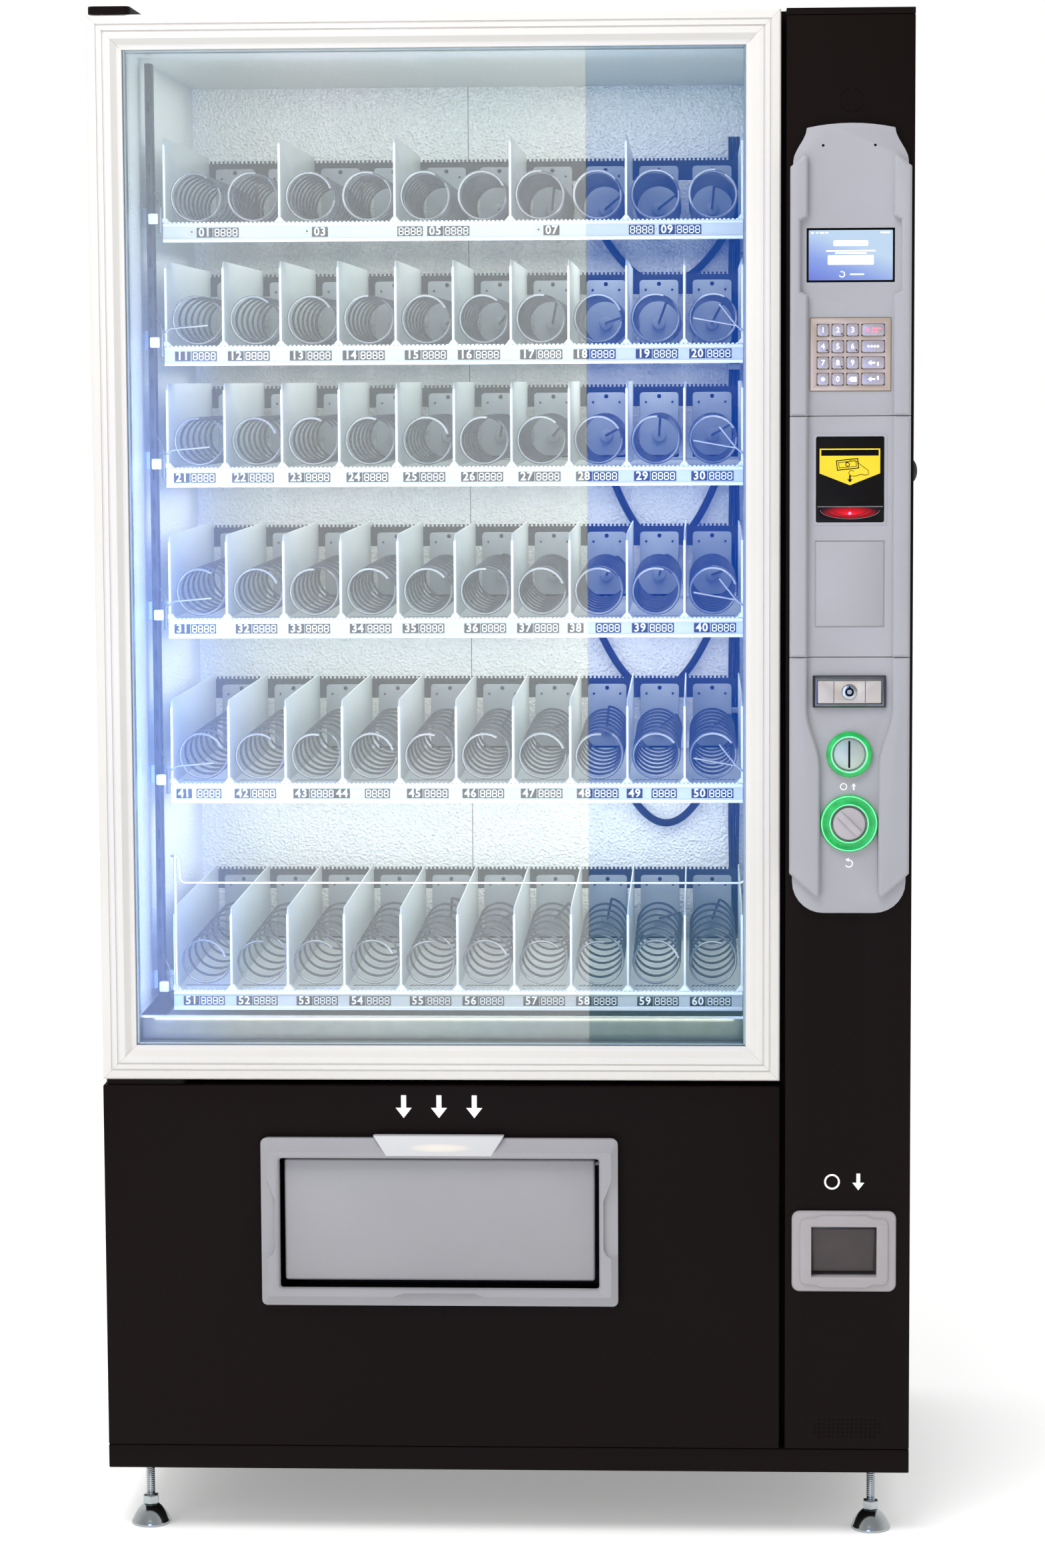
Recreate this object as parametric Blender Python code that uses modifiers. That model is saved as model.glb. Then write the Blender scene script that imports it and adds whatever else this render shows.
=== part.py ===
"""Glass-front spiral vending machine, modelled in metres with +Z up and the front towards -Y.

The origin is on the floor, in the middle of the machine's footprint.
"""
import math

import bmesh
import bpy
import numpy as np
from mathutils import Matrix, Vector

MM = 0.001

# Clearances
SEAT = 0.3 * MM            # between pieces that rest on each other
RUN = 0.3 * MM             # around pins, shafts and keys that move
DOOR_REST = 0.5 * MM       # under and over a door that swings

# Overall size
WIDTH = 1050 * MM
FACE_TO_BACK = 795 * MM    # door face to rear wall
FRONT_PROUD = 25 * MM      # controls standing in front of the door face
BODY_TOP = 1976 * MM
FOOT_HEIGHT = 90 * MM
PLINTH_HEIGHT = 31 * MM

# Front layout
COLUMN_WIDTH = 162 * MM
COLUMN_GAP = 7 * MM        # between the glass door and the control door
LOWER_PANEL_HEIGHT = 479 * MM
HINGE_SLOT = 7.6 * MM      # between the lower panel and the glass door
DOOR_THICK = 40 * MM
DOOR_GAP = 6 * MM          # between the doors and the cabinet, filled by the seal
HEADER_THICK = 8 * MM      # cabinet lip over the control door
PIVOT_INSET = 14 * MM      # hinge axis from the door's outer edge
PIN_R = 5 * MM
PIN_DEPTH = 22 * MM

# Cabinet walls and compartments
WALL = 40 * MM
BACK_WALL = 60 * MM
PARTITION = 46 * MM
BAY_DEPTH = 400 * MM
BAY_CLEAR = 4.75 * MM      # beside the lock, the widest piece that reaches into the bay
CABINET_FLOOR = 40 * MM
DECK_RISE = 39.7 * MM      # chamber floor over the lower panel's top
DECK_THICK = 40 * MM
SILL_RISE = 41 * MM        # sill over the chamber floor
SILL_THICK = 20 * MM
VENT_SLOTS = 12
VENT_SLOT_W = 8 * MM
VENT_SLOT_H = 180 * MM
VENT_PITCH = 26 * MM

# Glass door
FRAME_BAR = 44 * MM
FRAME_GROOVE = 1.2 * MM
GLASS_THICK = 24 * MM
GLASS_SETBACK = 12 * MM    # glass behind the door face
GLASS_BITE = 9 * MM        # how far the glass reaches into the frame
GASKET_W = 14 * MM
GASKET_INSET = 20 * MM

# Top hinge plate
HINGE_PLATE = 10 * MM
HINGE_PLATE_W = 54 * MM
HINGE_PLATE_L = 150 * MM
HINGE_ARM = 6.6 * MM       # thickness of the lower hinge arm
HINGE_ARM_L = 106 * MM

# Feet
FOOT_INSET_X = 47 * MM
FOOT_INSET_Y = 55 * MM
FOOT_PAD_R = 26 * MM
FOOT_STEM_R = 6 * MM
FOOT_NUT_R = 11 * MM
FOOT_NUT_H = 12 * MM
FOOT_BELL_H = 22 * MM
FOOT_LIP = 5 * MM

# Product trays, from the top one down: share of the chamber's height over the next tray, and number of lanes
TRAY_SHARES = [0.12461, 0.12346, 0.15432, 0.16975, 0.21528]
TRAY_FLOOR_GAP = 34 * MM   # lowest tray over the chamber floor
TRAY_LANES = [5, 10, 10, 10, 10, 10]
TRAY_GAP_LEFT = 34 * MM    # to the chamber walls
TRAY_GAP_RIGHT = 11 * MM
TRAY_FRONT = 170 * MM      # behind the door face
TRAY_DEPTH = 480 * MM
TRAY_SHEET = 2 * MM
RAIL_HEIGHT = 25 * MM
RAIL_THICK = 9 * MM
RAIL_LIP = 4 * MM          # lips that hold the price strip
RAIL_GROOVE = 2.5 * MM
DIVIDER_CLEAR = 23 * MM    # under the next tray
DIVIDER_ROUND = 10 * MM
MOTOR_PLATE_H = 96 * MM
MOTOR_PLATE = 3 * MM
MOTOR_SIZE = (56 * MM, 52 * MM, 72 * MM)
HUB_R = 10 * MM
HUB_LENGTH = 9 * MM
TRAY_LUG = 12 * MM         # side hangers hooking into the wall racks

# Vend spirals of the bottom tray
SPIRAL_CLEAR = 5 * MM      # wire to the middle of a divider
SPIRAL_WIRE = 4 * MM
SPIRAL_TURNS = 7
SPIRAL_STEPS = 8           # points on each turn
SPIRAL_FLOOR_GAP = 2 * MM
SPIRAL_LEAD = 8 * MM

# Lower panel and delivery
PANEL_SHEET = 3 * MM
PICKUP_SHIFT = -1.5 * MM   # opening from the panel's centre line
PICKUP_SIDE = 24 * MM      # frame around the opening
PICKUP_OVER = 25.7 * MM
PICKUP_UNDER = 18.5 * MM
PICKUP_ROUND = 9 * MM
PICKUP_PROUD = 10 * MM
PICKUP_FLANGE = 6.5 * MM   # frame edge lapping over the panel
OPENING_W = 417 * MM
OPENING_DROP = 93.1 * MM   # below the panel's top
OPENING_H = 176.8 * MM
FLAP_SIDE_GAP = 6 * MM
FLAP_TOP_GAP = 2.6 * MM
FLAP_BOTTOM_GAP = 13.2 * MM
FLAP_THICK = 12 * MM
FLAP_FRONT = 3 * MM        # flap face in front of the door face
FLAP_AXIS_DROP = 6.6 * MM
FLAP_AXIS_BACK = 10 * MM
FLAP_PIN_R = 3 * MM
FLAP_PIN_REACH = 4 * MM    # pin length inside the frame
LENS_TOP_W = 169 * MM
LENS_BOTTOM_W = 136 * MM
LENS_H = 26 * MM
LENS_RISE = 4.2 * MM       # above the frame's top edge
LENS_PROUD = 2.5 * MM
NOTCH_DEPTH = 3 * MM
BIN_WALL = 3 * MM
BIN_DEPTH = 138 * MM
BIN_FLOOR_DROP = 12.4 * MM # below the opening
BIN_SIDE_REACH = 6.5 * MM  # beyond the opening
BIN_SHOULDER_DROP = 25 * MM
BIN_SHOULDER_H = 60 * MM
BIN_SIDE_GAP = 12 * MM     # hopper mouth inside the chamber walls

# Control door and the pieces set in it, each height counted from its neighbour
DOOR_SHEET = 3 * MM
BEZEL_MARGIN = 4.6 * MM    # door showing beside the bezel
BASE_INSET = 3.8 * MM
BASE_PROUD = 10 * MM
WING_PROUD = 20 * MM
WING_INNER = 54 * MM
WING_CHAMFER = 3 * MM
CROWN_DROP = 135.6 * MM    # below the control door's top
CROWN_HALF = 55.6 * MM
CROWN_RISE = 5.9 * MM
SHOULDER_DROP = 47.3 * MM  # below the crown
WING_TOP_DROP = 40 * MM
WING_TOP_SLOPE = 14.6 * MM
WING_TIP_ROUND = 5 * MM
SEAM_UPPER_DROP = 77.7 * MM  # below the keypad
SEAM_LOWER_DROP = 93.5 * MM  # below the blank plate
SEAM_GAP = 0.6 * MM
BEZEL_END_DROP = 116.2 * MM  # below the knob
BEZEL_BOTTOM_ROUND = 40 * MM
WING_NARROW = 37.4 * MM
WING_NARROW_DROP = 14.1 * MM  # below the coin slot
WING_WIDE_RISE = 57.8 * MM  # over the coin slot
WING_END_RISE = 20.6 * MM  # over the bezel's end
WING_END_SLOPE = 31.1 * MM
DISPLAY_STEP = 63.3 * MM
DISPLAY_STEP_DROP = 45.5 * MM
DISPLAY_STEP_RISE = 43.8 * MM

DISPLAY_DROP = 165.1 * MM  # below the crown
DISPLAY_W = 110.8 * MM
DISPLAY_H = 67.6 * MM
DISPLAY_SETBACK = 2 * MM
DISPLAY_DEPTH = 22 * MM

KEYPAD_DROP = 124.6 * MM   # below the display
KEYPAD_W = 101.7 * MM
KEYPAD_H = 91.4 * MM
KEYPAD_PROUD = 1.5 * MM
KEYPAD_DEPTH = 25 * MM
KEY_SIZE = 15 * MM
KEY_WIDE = 29 * MM
KEY_PITCH_X = 18.7 * MM
KEY_PITCH_Z = 20.6 * MM
KEY_FIRST_X = -34.8 * MM   # first column from the keypad's centre
KEY_TOP_Z = 30.5 * MM      # top row from the keypad's centre
KEY_PROUD = 2.5 * MM
KEY_TRAVEL = 1 * MM
KEY_POCKET = 6 * MM
KEY_ROUND = 2 * MM
KEY_CHAMFER = 1 * MM
KEY_FUNCTION_GAP = 3.9 * MM

BILL_DROP = 80.3 * MM      # below the upper seam
BILL_W = 87.8 * MM
BILL_H = 110.2 * MM
BILL_SETBACK = 2 * MM
BILL_DEPTH = 100 * MM
BILL_MOUTH_Z = -42 * MM    # mouth from the opening's centre
BILL_MOUTH_W = 76 * MM
BILL_MOUTH_H = 15 * MM
BILL_MOUTH_DEPTH = 40 * MM

BLANK_DROP = 132.7 * MM    # below the banknote reader
BLANK_W = 88.8 * MM
BLANK_H = 110.3 * MM
BLANK_GROOVE = 1.4 * MM

LOCK_DROP = 44 * MM        # below the lower seam
LOCK_W = 92.5 * MM
LOCK_H = 40 * MM
LOCK_PROUD = 17 * MM
LOCK_DEPTH = 72 * MM
LOCK_BEVEL = 4 * MM
HANDLE_MARGIN_X = 5.5 * MM
HANDLE_MARGIN_Z = 5.1 * MM
HANDLE_THICK = 9 * MM
HANDLE_BARREL_R = 12 * MM
HANDLE_BARREL_L = 44 * MM
CYLINDER_R = 9.5 * MM
CYLINDER_L = 14 * MM

COIN_DROP = 80.2 * MM      # below the lock
COIN_RING_R = 29 * MM
COIN_PLATE_R = 21.3 * MM
COIN_RING_PROUD = 7 * MM
COIN_SLOT_H = 35 * MM
COIN_SLOT_W = 2.6 * MM

KNOB_DROP = 88.8 * MM      # below the coin slot
KNOB_RING_R = 36.7 * MM
KNOB_RING_INNER = 23 * MM
KNOB_RING_PROUD = 6 * MM
KNOB_R = 20.4 * MM
KNOB_BODY = 9 * MM
KNOB_RIDGE = 5.5 * MM
KNOB_RIDGE_W = 9 * MM
KNOB_SHAFT_R = 5 * MM
KNOB_TILT = math.radians(45)

CUP_OFFSET_X = -4.6 * MM
CUP_Z = 385.2 * MM
CUP_W = 135 * MM
CUP_H = 106 * MM
CUP_ROUND = 10 * MM
CUP_PROUD = 6 * MM
CUP_RIM_W = 115 * MM
CUP_RIM_H = 88 * MM
CUP_RIM_EAR = 4 * MM
CUP_RIM_EAR_HALF = 30 * MM
CUP_RIM_PROUD = 3 * MM
CUP_OPEN_W = 84.6 * MM
CUP_OPEN_H = 66 * MM
CUP_WALL = 4 * MM
CUP_DEPTH = 68 * MM
COIN_FLAP_THICK = 2.5 * MM
COIN_FLAP_GAP = 0.8 * MM
COIN_FLAP_SHORT = 8 * MM   # less than the opening's height
COIN_FLAP_AXIS_DROP = 5 * MM
COIN_FLAP_SETBACK = 3 * MM

# Cooling unit in the lower compartment
COOLER_SIZE = (440 * MM, 330 * MM, 12 * MM)
COMPRESSOR_R = 80 * MM
COMPRESSOR_H = 190 * MM
CONDENSER = (300 * MM, 60 * MM, 280 * MM)

# Places worked out from the sizes above
HALF = WIDTH / 2
Y_FRONT = -(FACE_TO_BACK + FRONT_PROUD) / 2
Y_FACE = Y_FRONT + FRONT_PROUD
Y_BACK = Y_FACE + FACE_TO_BACK
Y_DOOR_BACK = Y_FACE + DOOR_THICK
Y_CABINET = Y_DOOR_BACK + DOOR_GAP
Y_PIVOT = Y_FACE + DOOR_THICK / 2
Z_PLINTH = FOOT_HEIGHT + PLINTH_HEIGHT
Z_BASE = Z_PLINTH + SEAT
Z_PANEL_TOP = Z_BASE + LOWER_PANEL_HEIGHT
Z_GLASS_BOTTOM = Z_PANEL_TOP + HINGE_SLOT
Z_GLASS_TOP = BODY_TOP - SEAT
COLUMN_LEFT = HALF - COLUMN_WIDTH
GLASS_RIGHT = COLUMN_LEFT - COLUMN_GAP
COLUMN_X = (COLUMN_LEFT + HALF) / 2
Z_COLUMN_BOTTOM = Z_PLINTH + DOOR_REST
Z_COLUMN_TOP = BODY_TOP - HEADER_THICK - DOOR_REST
BAY_LEFT = COLUMN_LEFT + DOOR_SHEET
BAY_WALL = (COLUMN_WIDTH - LOCK_W) / 2 - BAY_CLEAR
CHAMBER_LEFT = -HALF + WALL
CHAMBER_RIGHT = BAY_LEFT - PARTITION
CHAMBER_TOP = BODY_TOP - WALL
Y_CHAMBER_BACK = Y_BACK - BACK_WALL
Y_TRAY = Y_FACE + TRAY_FRONT
Y_TRAY_BACK = Y_TRAY + TRAY_DEPTH
Y_BASE = Y_FACE - BASE_PROUD
CHAMBER_FLOOR = Z_PANEL_TOP + DECK_RISE
DECK_UNDER = CHAMBER_FLOOR - DECK_THICK
SILL_TOP = CHAMBER_FLOOR + SILL_RISE

SPIRAL_TRAY = len(TRAY_SHARES)
TRAY_STEPS = [share * (CHAMBER_TOP - CHAMBER_FLOOR) for share in TRAY_SHARES]
TRAY_UNDERSIDES = [CHAMBER_FLOOR + TRAY_FLOOR_GAP + sum(TRAY_STEPS[index:])
                   for index in range(SPIRAL_TRAY + 1)]
DIVIDER_HEIGHT = min(TRAY_STEPS) - RAIL_HEIGHT - DIVIDER_CLEAR
TRAY_LEFT = CHAMBER_LEFT + TRAY_GAP_LEFT
TRAY_WIDTH = CHAMBER_RIGHT - TRAY_GAP_RIGHT - TRAY_LEFT
SPIRAL_R = TRAY_WIDTH / TRAY_LANES[SPIRAL_TRAY] / 2 - SPIRAL_CLEAR - SPIRAL_WIRE / 2

OPENING_TOP = Z_PANEL_TOP - OPENING_DROP
PICKUP_X = (GLASS_RIGHT - HALF) / 2 + PICKUP_SHIFT
PICKUP_W = OPENING_W + 2 * PICKUP_SIDE
PICKUP_H = OPENING_H + PICKUP_OVER + PICKUP_UNDER
PICKUP_Z = OPENING_TOP + PICKUP_OVER - PICKUP_H / 2
FLAP_W = OPENING_W - 2 * FLAP_SIDE_GAP
FLAP_TOP = OPENING_TOP - FLAP_TOP_GAP
FLAP_H = OPENING_H - FLAP_TOP_GAP - FLAP_BOTTOM_GAP
BIN_FLOOR = OPENING_TOP - OPENING_H - BIN_FLOOR_DROP
BIN_HALF_LOW = OPENING_W / 2 + BIN_SIDE_REACH
BIN_SHOULDER_HIGH = DECK_UNDER - BIN_SHOULDER_DROP
BIN_SHOULDER_LOW = BIN_SHOULDER_HIGH - BIN_SHOULDER_H

BEZEL_HALF = COLUMN_WIDTH / 2 - BEZEL_MARGIN
BASE_HALF = BEZEL_HALF - BASE_INSET
CROWN_TOP = Z_COLUMN_TOP - CROWN_DROP
DISPLAY_Z = CROWN_TOP - DISPLAY_DROP
KEYPAD_Z = DISPLAY_Z - KEYPAD_DROP
SEAM_UPPER = KEYPAD_Z - SEAM_UPPER_DROP
BILL_Z = SEAM_UPPER - BILL_DROP
BLANK_Z = BILL_Z - BLANK_DROP
SEAM_LOWER = BLANK_Z - SEAM_LOWER_DROP
LOCK_Z = SEAM_LOWER - LOCK_DROP
COIN_Z = LOCK_Z - COIN_DROP
KNOB_Z = COIN_Z - KNOB_DROP
BEZEL_BOTTOM = KNOB_Z - BEZEL_END_DROP
SHOULDER_Z = CROWN_TOP - SHOULDER_DROP
WING_TOP_INNER = CROWN_TOP - WING_TOP_DROP
WING_TOP_OUTER = WING_TOP_INNER - WING_TOP_SLOPE
WING_NARROW_Z = COIN_Z - WING_NARROW_DROP
WING_WIDE_Z = COIN_Z + WING_WIDE_RISE
WING_END_INNER = BEZEL_BOTTOM + WING_END_RISE
WING_END_OUTER = WING_END_INNER + WING_END_SLOPE
DISPLAY_STEP_LOW = DISPLAY_Z - DISPLAY_STEP_DROP
DISPLAY_STEP_HIGH = DISPLAY_Z + DISPLAY_STEP_RISE
HANDLE_W = LOCK_W - 2 * HANDLE_MARGIN_X
HANDLE_H = LOCK_H - 2 * HANDLE_MARGIN_Z
COIN_FLAP_H = CUP_OPEN_H - COIN_FLAP_SHORT

for old in list(bpy.data.objects):
    bpy.data.objects.remove(old, do_unlink=True)

parts = bpy.data.collections.new("vending_machine")
tools = bpy.data.collections.new("cutters")
bpy.context.scene.collection.children.link(parts)
bpy.context.scene.collection.children.link(tools)


def make_material(name, color, roughness, metallic=0.0, alpha=1.0):
    material = bpy.data.materials.new(name)
    material.use_nodes = True
    shader = material.node_tree.nodes["Principled BSDF"]
    shader.inputs["Base Color"].default_value = (*color, 1.0)
    shader.inputs["Roughness"].default_value = roughness
    shader.inputs["Metallic"].default_value = metallic
    shader.inputs["Alpha"].default_value = alpha
    return material


black_paint = make_material("black_powder_coat", (0.010, 0.009, 0.009), 0.5)
galvanised = make_material("galvanised_sheet", (0.52, 0.53, 0.52), 0.45, 0.8)
white_profile = make_material("white_anodised", (0.80, 0.78, 0.76), 0.35, 0.2)
clear_glass = make_material("clear_glass", (0.85, 0.93, 0.92), 0.05, 0.0, 0.3)
black_rubber = make_material("black_rubber", (0.012, 0.012, 0.013), 0.8)
grey_abs = make_material("grey_abs", (0.45, 0.44, 0.46), 0.5)
white_steel = make_material("white_enamel", (0.75, 0.77, 0.78), 0.4)
spring_steel = make_material("spring_steel", (0.28, 0.28, 0.31), 0.3, 0.9)
chrome = make_material("chrome_steel", (0.62, 0.62, 0.63), 0.18, 1.0)
black_abs = make_material("black_abs", (0.014, 0.013, 0.014), 0.35)
bronze_plate = make_material("keypad_steel", (0.45, 0.34, 0.27), 0.25, 0.9)
smoke = make_material("smoked_flap", (0.03, 0.027, 0.025), 0.25)
screen = make_material("display_glass", (0.02, 0.05, 0.16), 0.1)


# Shapes are bmeshes in world coordinates until they become parts or tools.
def block(x, y, z):
    bm = bmesh.new()
    middle = Vector(((x[0] + x[1]) / 2, (y[0] + y[1]) / 2, (z[0] + z[1]) / 2))
    size = (x[1] - x[0], y[1] - y[0], z[1] - z[0])
    matrix = Matrix.Translation(middle) @ Matrix.Diagonal((*size, 1.0))
    bmesh.ops.create_cube(bm, size=1.0, matrix=matrix)
    return bm


def rod(axis, center, radius, span, segments=16):
    """A cylinder along X, Y or Z over span, centred on the other two coordinates."""
    turn = {"x": Matrix.Rotation(math.pi / 2, 4, "Y"), "y": Matrix.Rotation(math.pi / 2, 4, "X"),
            "z": Matrix.Identity(4)}[axis]
    middle = (span[0] + span[1]) / 2
    place = {"x": (middle, *center), "y": (center[0], middle, center[1]), "z": (*center, middle)}[axis]
    bm = bmesh.new()
    bmesh.ops.create_cone(bm, cap_ends=True, segments=segments, radius1=radius, radius2=radius,
                          depth=span[1] - span[0], matrix=Matrix.Translation(place) @ turn)
    return bm


def prism(outline, axis, span, chamfer=0.0):
    """An outline pushed along an axis: (x, z) points for y, (y, z) for x and (x, y) for z."""
    def at(point, depth):
        a, b = point
        return {"x": (depth, a, b), "y": (a, depth, b), "z": (a, b, depth)}[axis]

    bm = bmesh.new()
    face = bm.faces.new([bm.verts.new(at(point, span[0])) for point in outline])
    pushed = bmesh.ops.extrude_face_region(bm, geom=[face])
    verts = [item for item in pushed["geom"] if isinstance(item, bmesh.types.BMVert)]
    bmesh.ops.translate(bm, verts=verts, vec=Vector(at((0, 0), span[1] - span[0])))
    bmesh.ops.recalc_face_normals(bm, faces=bm.faces)
    if chamfer:
        rim = [edge for edge in bm.edges if all(vert not in verts for vert in edge.verts)]
        bmesh.ops.bevel(bm, geom=rim, offset=chamfer, segments=1, profile=0.5, affect="EDGES",
                        clamp_overlap=True)
    return bm


def rounded(center, size, radius, steps=4):
    """Outline of a rectangle with round corners."""
    points = []
    for quarter in range(4):
        sign = ((1, 1), (-1, 1), (-1, -1), (1, -1))[quarter]
        corner = [center[i] + sign[i] * (size[i] / 2 - radius) for i in range(2)]
        for step in range(steps + 1):
            angle = math.pi / 2 * (quarter + step / steps)
            points.append((corner[0] + radius * math.cos(angle), corner[1] + radius * math.sin(angle)))
    return points


def mirrored(half, center):
    """Close an outline from its +X half, given from the bottom up, about a vertical line."""
    left = [(center - x, z) for x, z in reversed(half) if x > 1e-9]
    return [(center + x, z) for x, z in half] + left


def new_object(name, bm, collection, origin=(0, 0, 0)):
    bmesh.ops.translate(bm, verts=bm.verts, vec=-Vector(origin))
    mesh = bpy.data.meshes.new(name)
    bm.to_mesh(mesh)
    bm.free()
    obj = bpy.data.objects.new(name, mesh)
    obj.location = origin
    collection.objects.link(obj)
    return obj


carrier_place = {}


def carrier(name, place, parent=None):
    """An empty on a joint's axis, which carries the pieces that move together."""
    empty = bpy.data.objects.new(name, None)
    empty.empty_display_size = 0.05
    parts.objects.link(empty)
    empty.location = Vector(place) - (carrier_place[parent] if parent else Vector())
    empty.parent = parent
    carrier_place[empty] = Vector(place)
    return empty


def part(name, bm, material, parent=None, joins=(), cuts=(), fittings=()):
    """A named piece: its blank with shapes joined on, then shapes cut out, then fittings joined on."""
    origin = carrier_place[parent] if parent else Vector()
    obj = new_object(name, bm, parts, origin)
    obj.data.materials.append(material)
    if parent:
        obj.location = (0, 0, 0)
        obj.parent = parent
    for operation, shapes in (("UNION", joins), ("DIFFERENCE", cuts), ("UNION", fittings)):
        for shape in shapes:
            number = len(obj.modifiers)
            tool = new_object(f"{name}_tool_{number}", shape, tools)
            tool.hide_render = True
            tool.display_type = "WIRE"
            boolean = obj.modifiers.new(f"shape_{number}", "BOOLEAN")
            boolean.operation = operation
            boolean.object = tool
    return obj


def cabinet_body():
    """Foamed housing with a product chamber, a control bay and a lower compartment."""
    chamber_x = (CHAMBER_LEFT, CHAMBER_RIGHT)
    before = Y_CABINET - WALL
    y_sill = Y_CABINET + SILL_THICK
    pockets = [
        block(chamber_x, (before, Y_CHAMBER_BACK), (SILL_TOP, CHAMBER_TOP)),
        block(chamber_x, (y_sill, Y_CHAMBER_BACK), (CHAMBER_FLOOR, SILL_TOP + WALL)),
        block((CHAMBER_LEFT + BIN_SIDE_GAP, CHAMBER_RIGHT - BIN_SIDE_GAP), (y_sill, Y_TRAY),
              (DECK_UNDER - WALL, CHAMBER_FLOOR + WALL)),
        block(chamber_x, (before, Y_CHAMBER_BACK), (Z_BASE + CABINET_FLOOR, DECK_UNDER)),
        block((BAY_LEFT, HALF - BAY_WALL), (before, Y_CABINET + BAY_DEPTH),
              (Z_BASE + CABINET_FLOOR, BODY_TOP - WALL)),
    ]
    slots = bmesh.new()
    vent_z = (Z_BASE + CABINET_FLOOR + DECK_UNDER) / 2
    vent_x = (CHAMBER_LEFT + CHAMBER_RIGHT) / 2
    for slot in range(VENT_SLOTS):
        x = vent_x + (slot - (VENT_SLOTS - 1) / 2) * VENT_PITCH
        y = (Y_CHAMBER_BACK + Y_BACK) / 2
        size = (VENT_SLOT_W, BACK_WALL * 2, VENT_SLOT_H)
        matrix = Matrix.Translation((x, y, vent_z)) @ Matrix.Diagonal((*size, 1.0))
        bmesh.ops.create_cube(slots, size=1.0, matrix=matrix)
    header = block((COLUMN_LEFT, HALF), (Y_FACE, Y_CABINET + WALL / 2),
                   (BODY_TOP - HEADER_THICK, BODY_TOP))
    header_pin = rod("z", (HALF - PIVOT_INSET, Y_PIVOT), PIN_R,
                     (Z_COLUMN_TOP - PIN_DEPTH, BODY_TOP - HEADER_THICK / 2))
    arm_top = Z_GLASS_BOTTOM - DOOR_REST
    arm = prism(rounded((-HALF + 3 * MM + HINGE_ARM_L / 2, (Y_FACE + Y_CABINET) / 2 + 5 * MM),
                        (HINGE_ARM_L, Y_CABINET - Y_FACE), 8 * MM), "z", (arm_top - HINGE_ARM, arm_top))
    arm_pin = rod("z", (-HALF + PIVOT_INSET, Y_PIVOT), PIN_R,
                  (arm_top - HINGE_ARM / 2, Z_GLASS_BOTTOM + PIN_DEPTH))
    blank = block((-HALF, HALF), (Y_CABINET, Y_BACK), (Z_BASE, BODY_TOP))
    return part("cabinet_body", blank, black_paint, cuts=[*pockets, slots],
                fittings=[header, header_pin, arm, arm_pin])


def plinth():
    """Base tray under the whole machine, with the control door's lower pivot."""
    blank = block((-HALF, HALF), (Y_FACE, Y_BACK), (FOOT_HEIGHT, Z_PLINTH))
    pin = rod("z", (HALF - PIVOT_INSET, Y_PIVOT), PIN_R,
              (FOOT_HEIGHT + PLINTH_HEIGHT / 2, Z_COLUMN_BOTTOM + PIN_DEPTH))
    return part("plinth", blank, black_paint, joins=[pin])


def feet():
    """Levelling feet: a bell pad and lock nut on a threaded stem."""
    top = FOOT_HEIGHT - SEAT
    bell_top = FOOT_LIP + FOOT_BELL_H
    profile = [(0, top), (FOOT_STEM_R, top), (FOOT_STEM_R, bell_top)]
    for step in range(1, 5):
        share = step / 4
        radius = FOOT_STEM_R + (FOOT_PAD_R - FOOT_STEM_R) * share ** 0.8
        profile.append((radius, bell_top - FOOT_BELL_H * share ** 1.6))
    profile += [(FOOT_PAD_R, 0), (0, 0)]
    ends = (("left", -HALF + FOOT_INSET_X), ("right", HALF - FOOT_INSET_X))
    rows = (("front", Y_FACE + FOOT_INSET_Y), ("rear", Y_BACK - FOOT_INSET_Y))
    for row, y in rows:
        for end, x in ends:
            bm = bmesh.new()
            verts = [bm.verts.new((radius, 0, z)) for radius, z in profile]
            for first, second in zip(verts, verts[1:]):
                bm.edges.new((first, second))
            foot = new_object(f"foot_{row}_{end}", bm, parts)
            foot.location = (x, y, 0)
            foot.data.materials.append(chrome)
            screw = foot.modifiers.new("turn", "SCREW")
            screw.steps = screw.render_steps = 12
            screw.use_merge_vertices = True
            screw.merge_threshold = 0.00001
            nut = rod("z", (x, y), FOOT_NUT_R, (bell_top - 2 * MM, bell_top + FOOT_NUT_H), 6)
            tool = new_object(f"{foot.name}_nut", nut, tools)
            tool.hide_render = True
            tool.display_type = "WIRE"
            join = foot.modifiers.new("nut", "BOOLEAN")
            join.operation = "UNION"
            join.object = tool


def hinge_plate_top():
    """Plate bolted to the roof, holding the glass door's upper pin."""
    low = BODY_TOP + SEAT
    middle = (-HALF + 2 * MM + HINGE_PLATE_W / 2, Y_FACE + HINGE_PLATE_L / 2)
    blank = prism(rounded(middle, (HINGE_PLATE_W, HINGE_PLATE_L), 8 * MM), "z", (low, low + HINGE_PLATE))
    pin = rod("z", (-HALF + PIVOT_INSET, Y_PIVOT), PIN_R, (Z_GLASS_TOP - PIN_DEPTH, low + HINGE_PLATE / 2))
    return part("hinge_plate_top", blank, black_paint, joins=[pin])


def open_pan(x, y, z, sheet):
    """A folded sheet panel: its blank and the hollow behind its face."""
    inner = block((x[0] + sheet, x[1] - sheet), (y[0] + sheet, y[1] + sheet), (z[0] + sheet, z[1] - sheet))
    return block(x, y, z), inner


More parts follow.
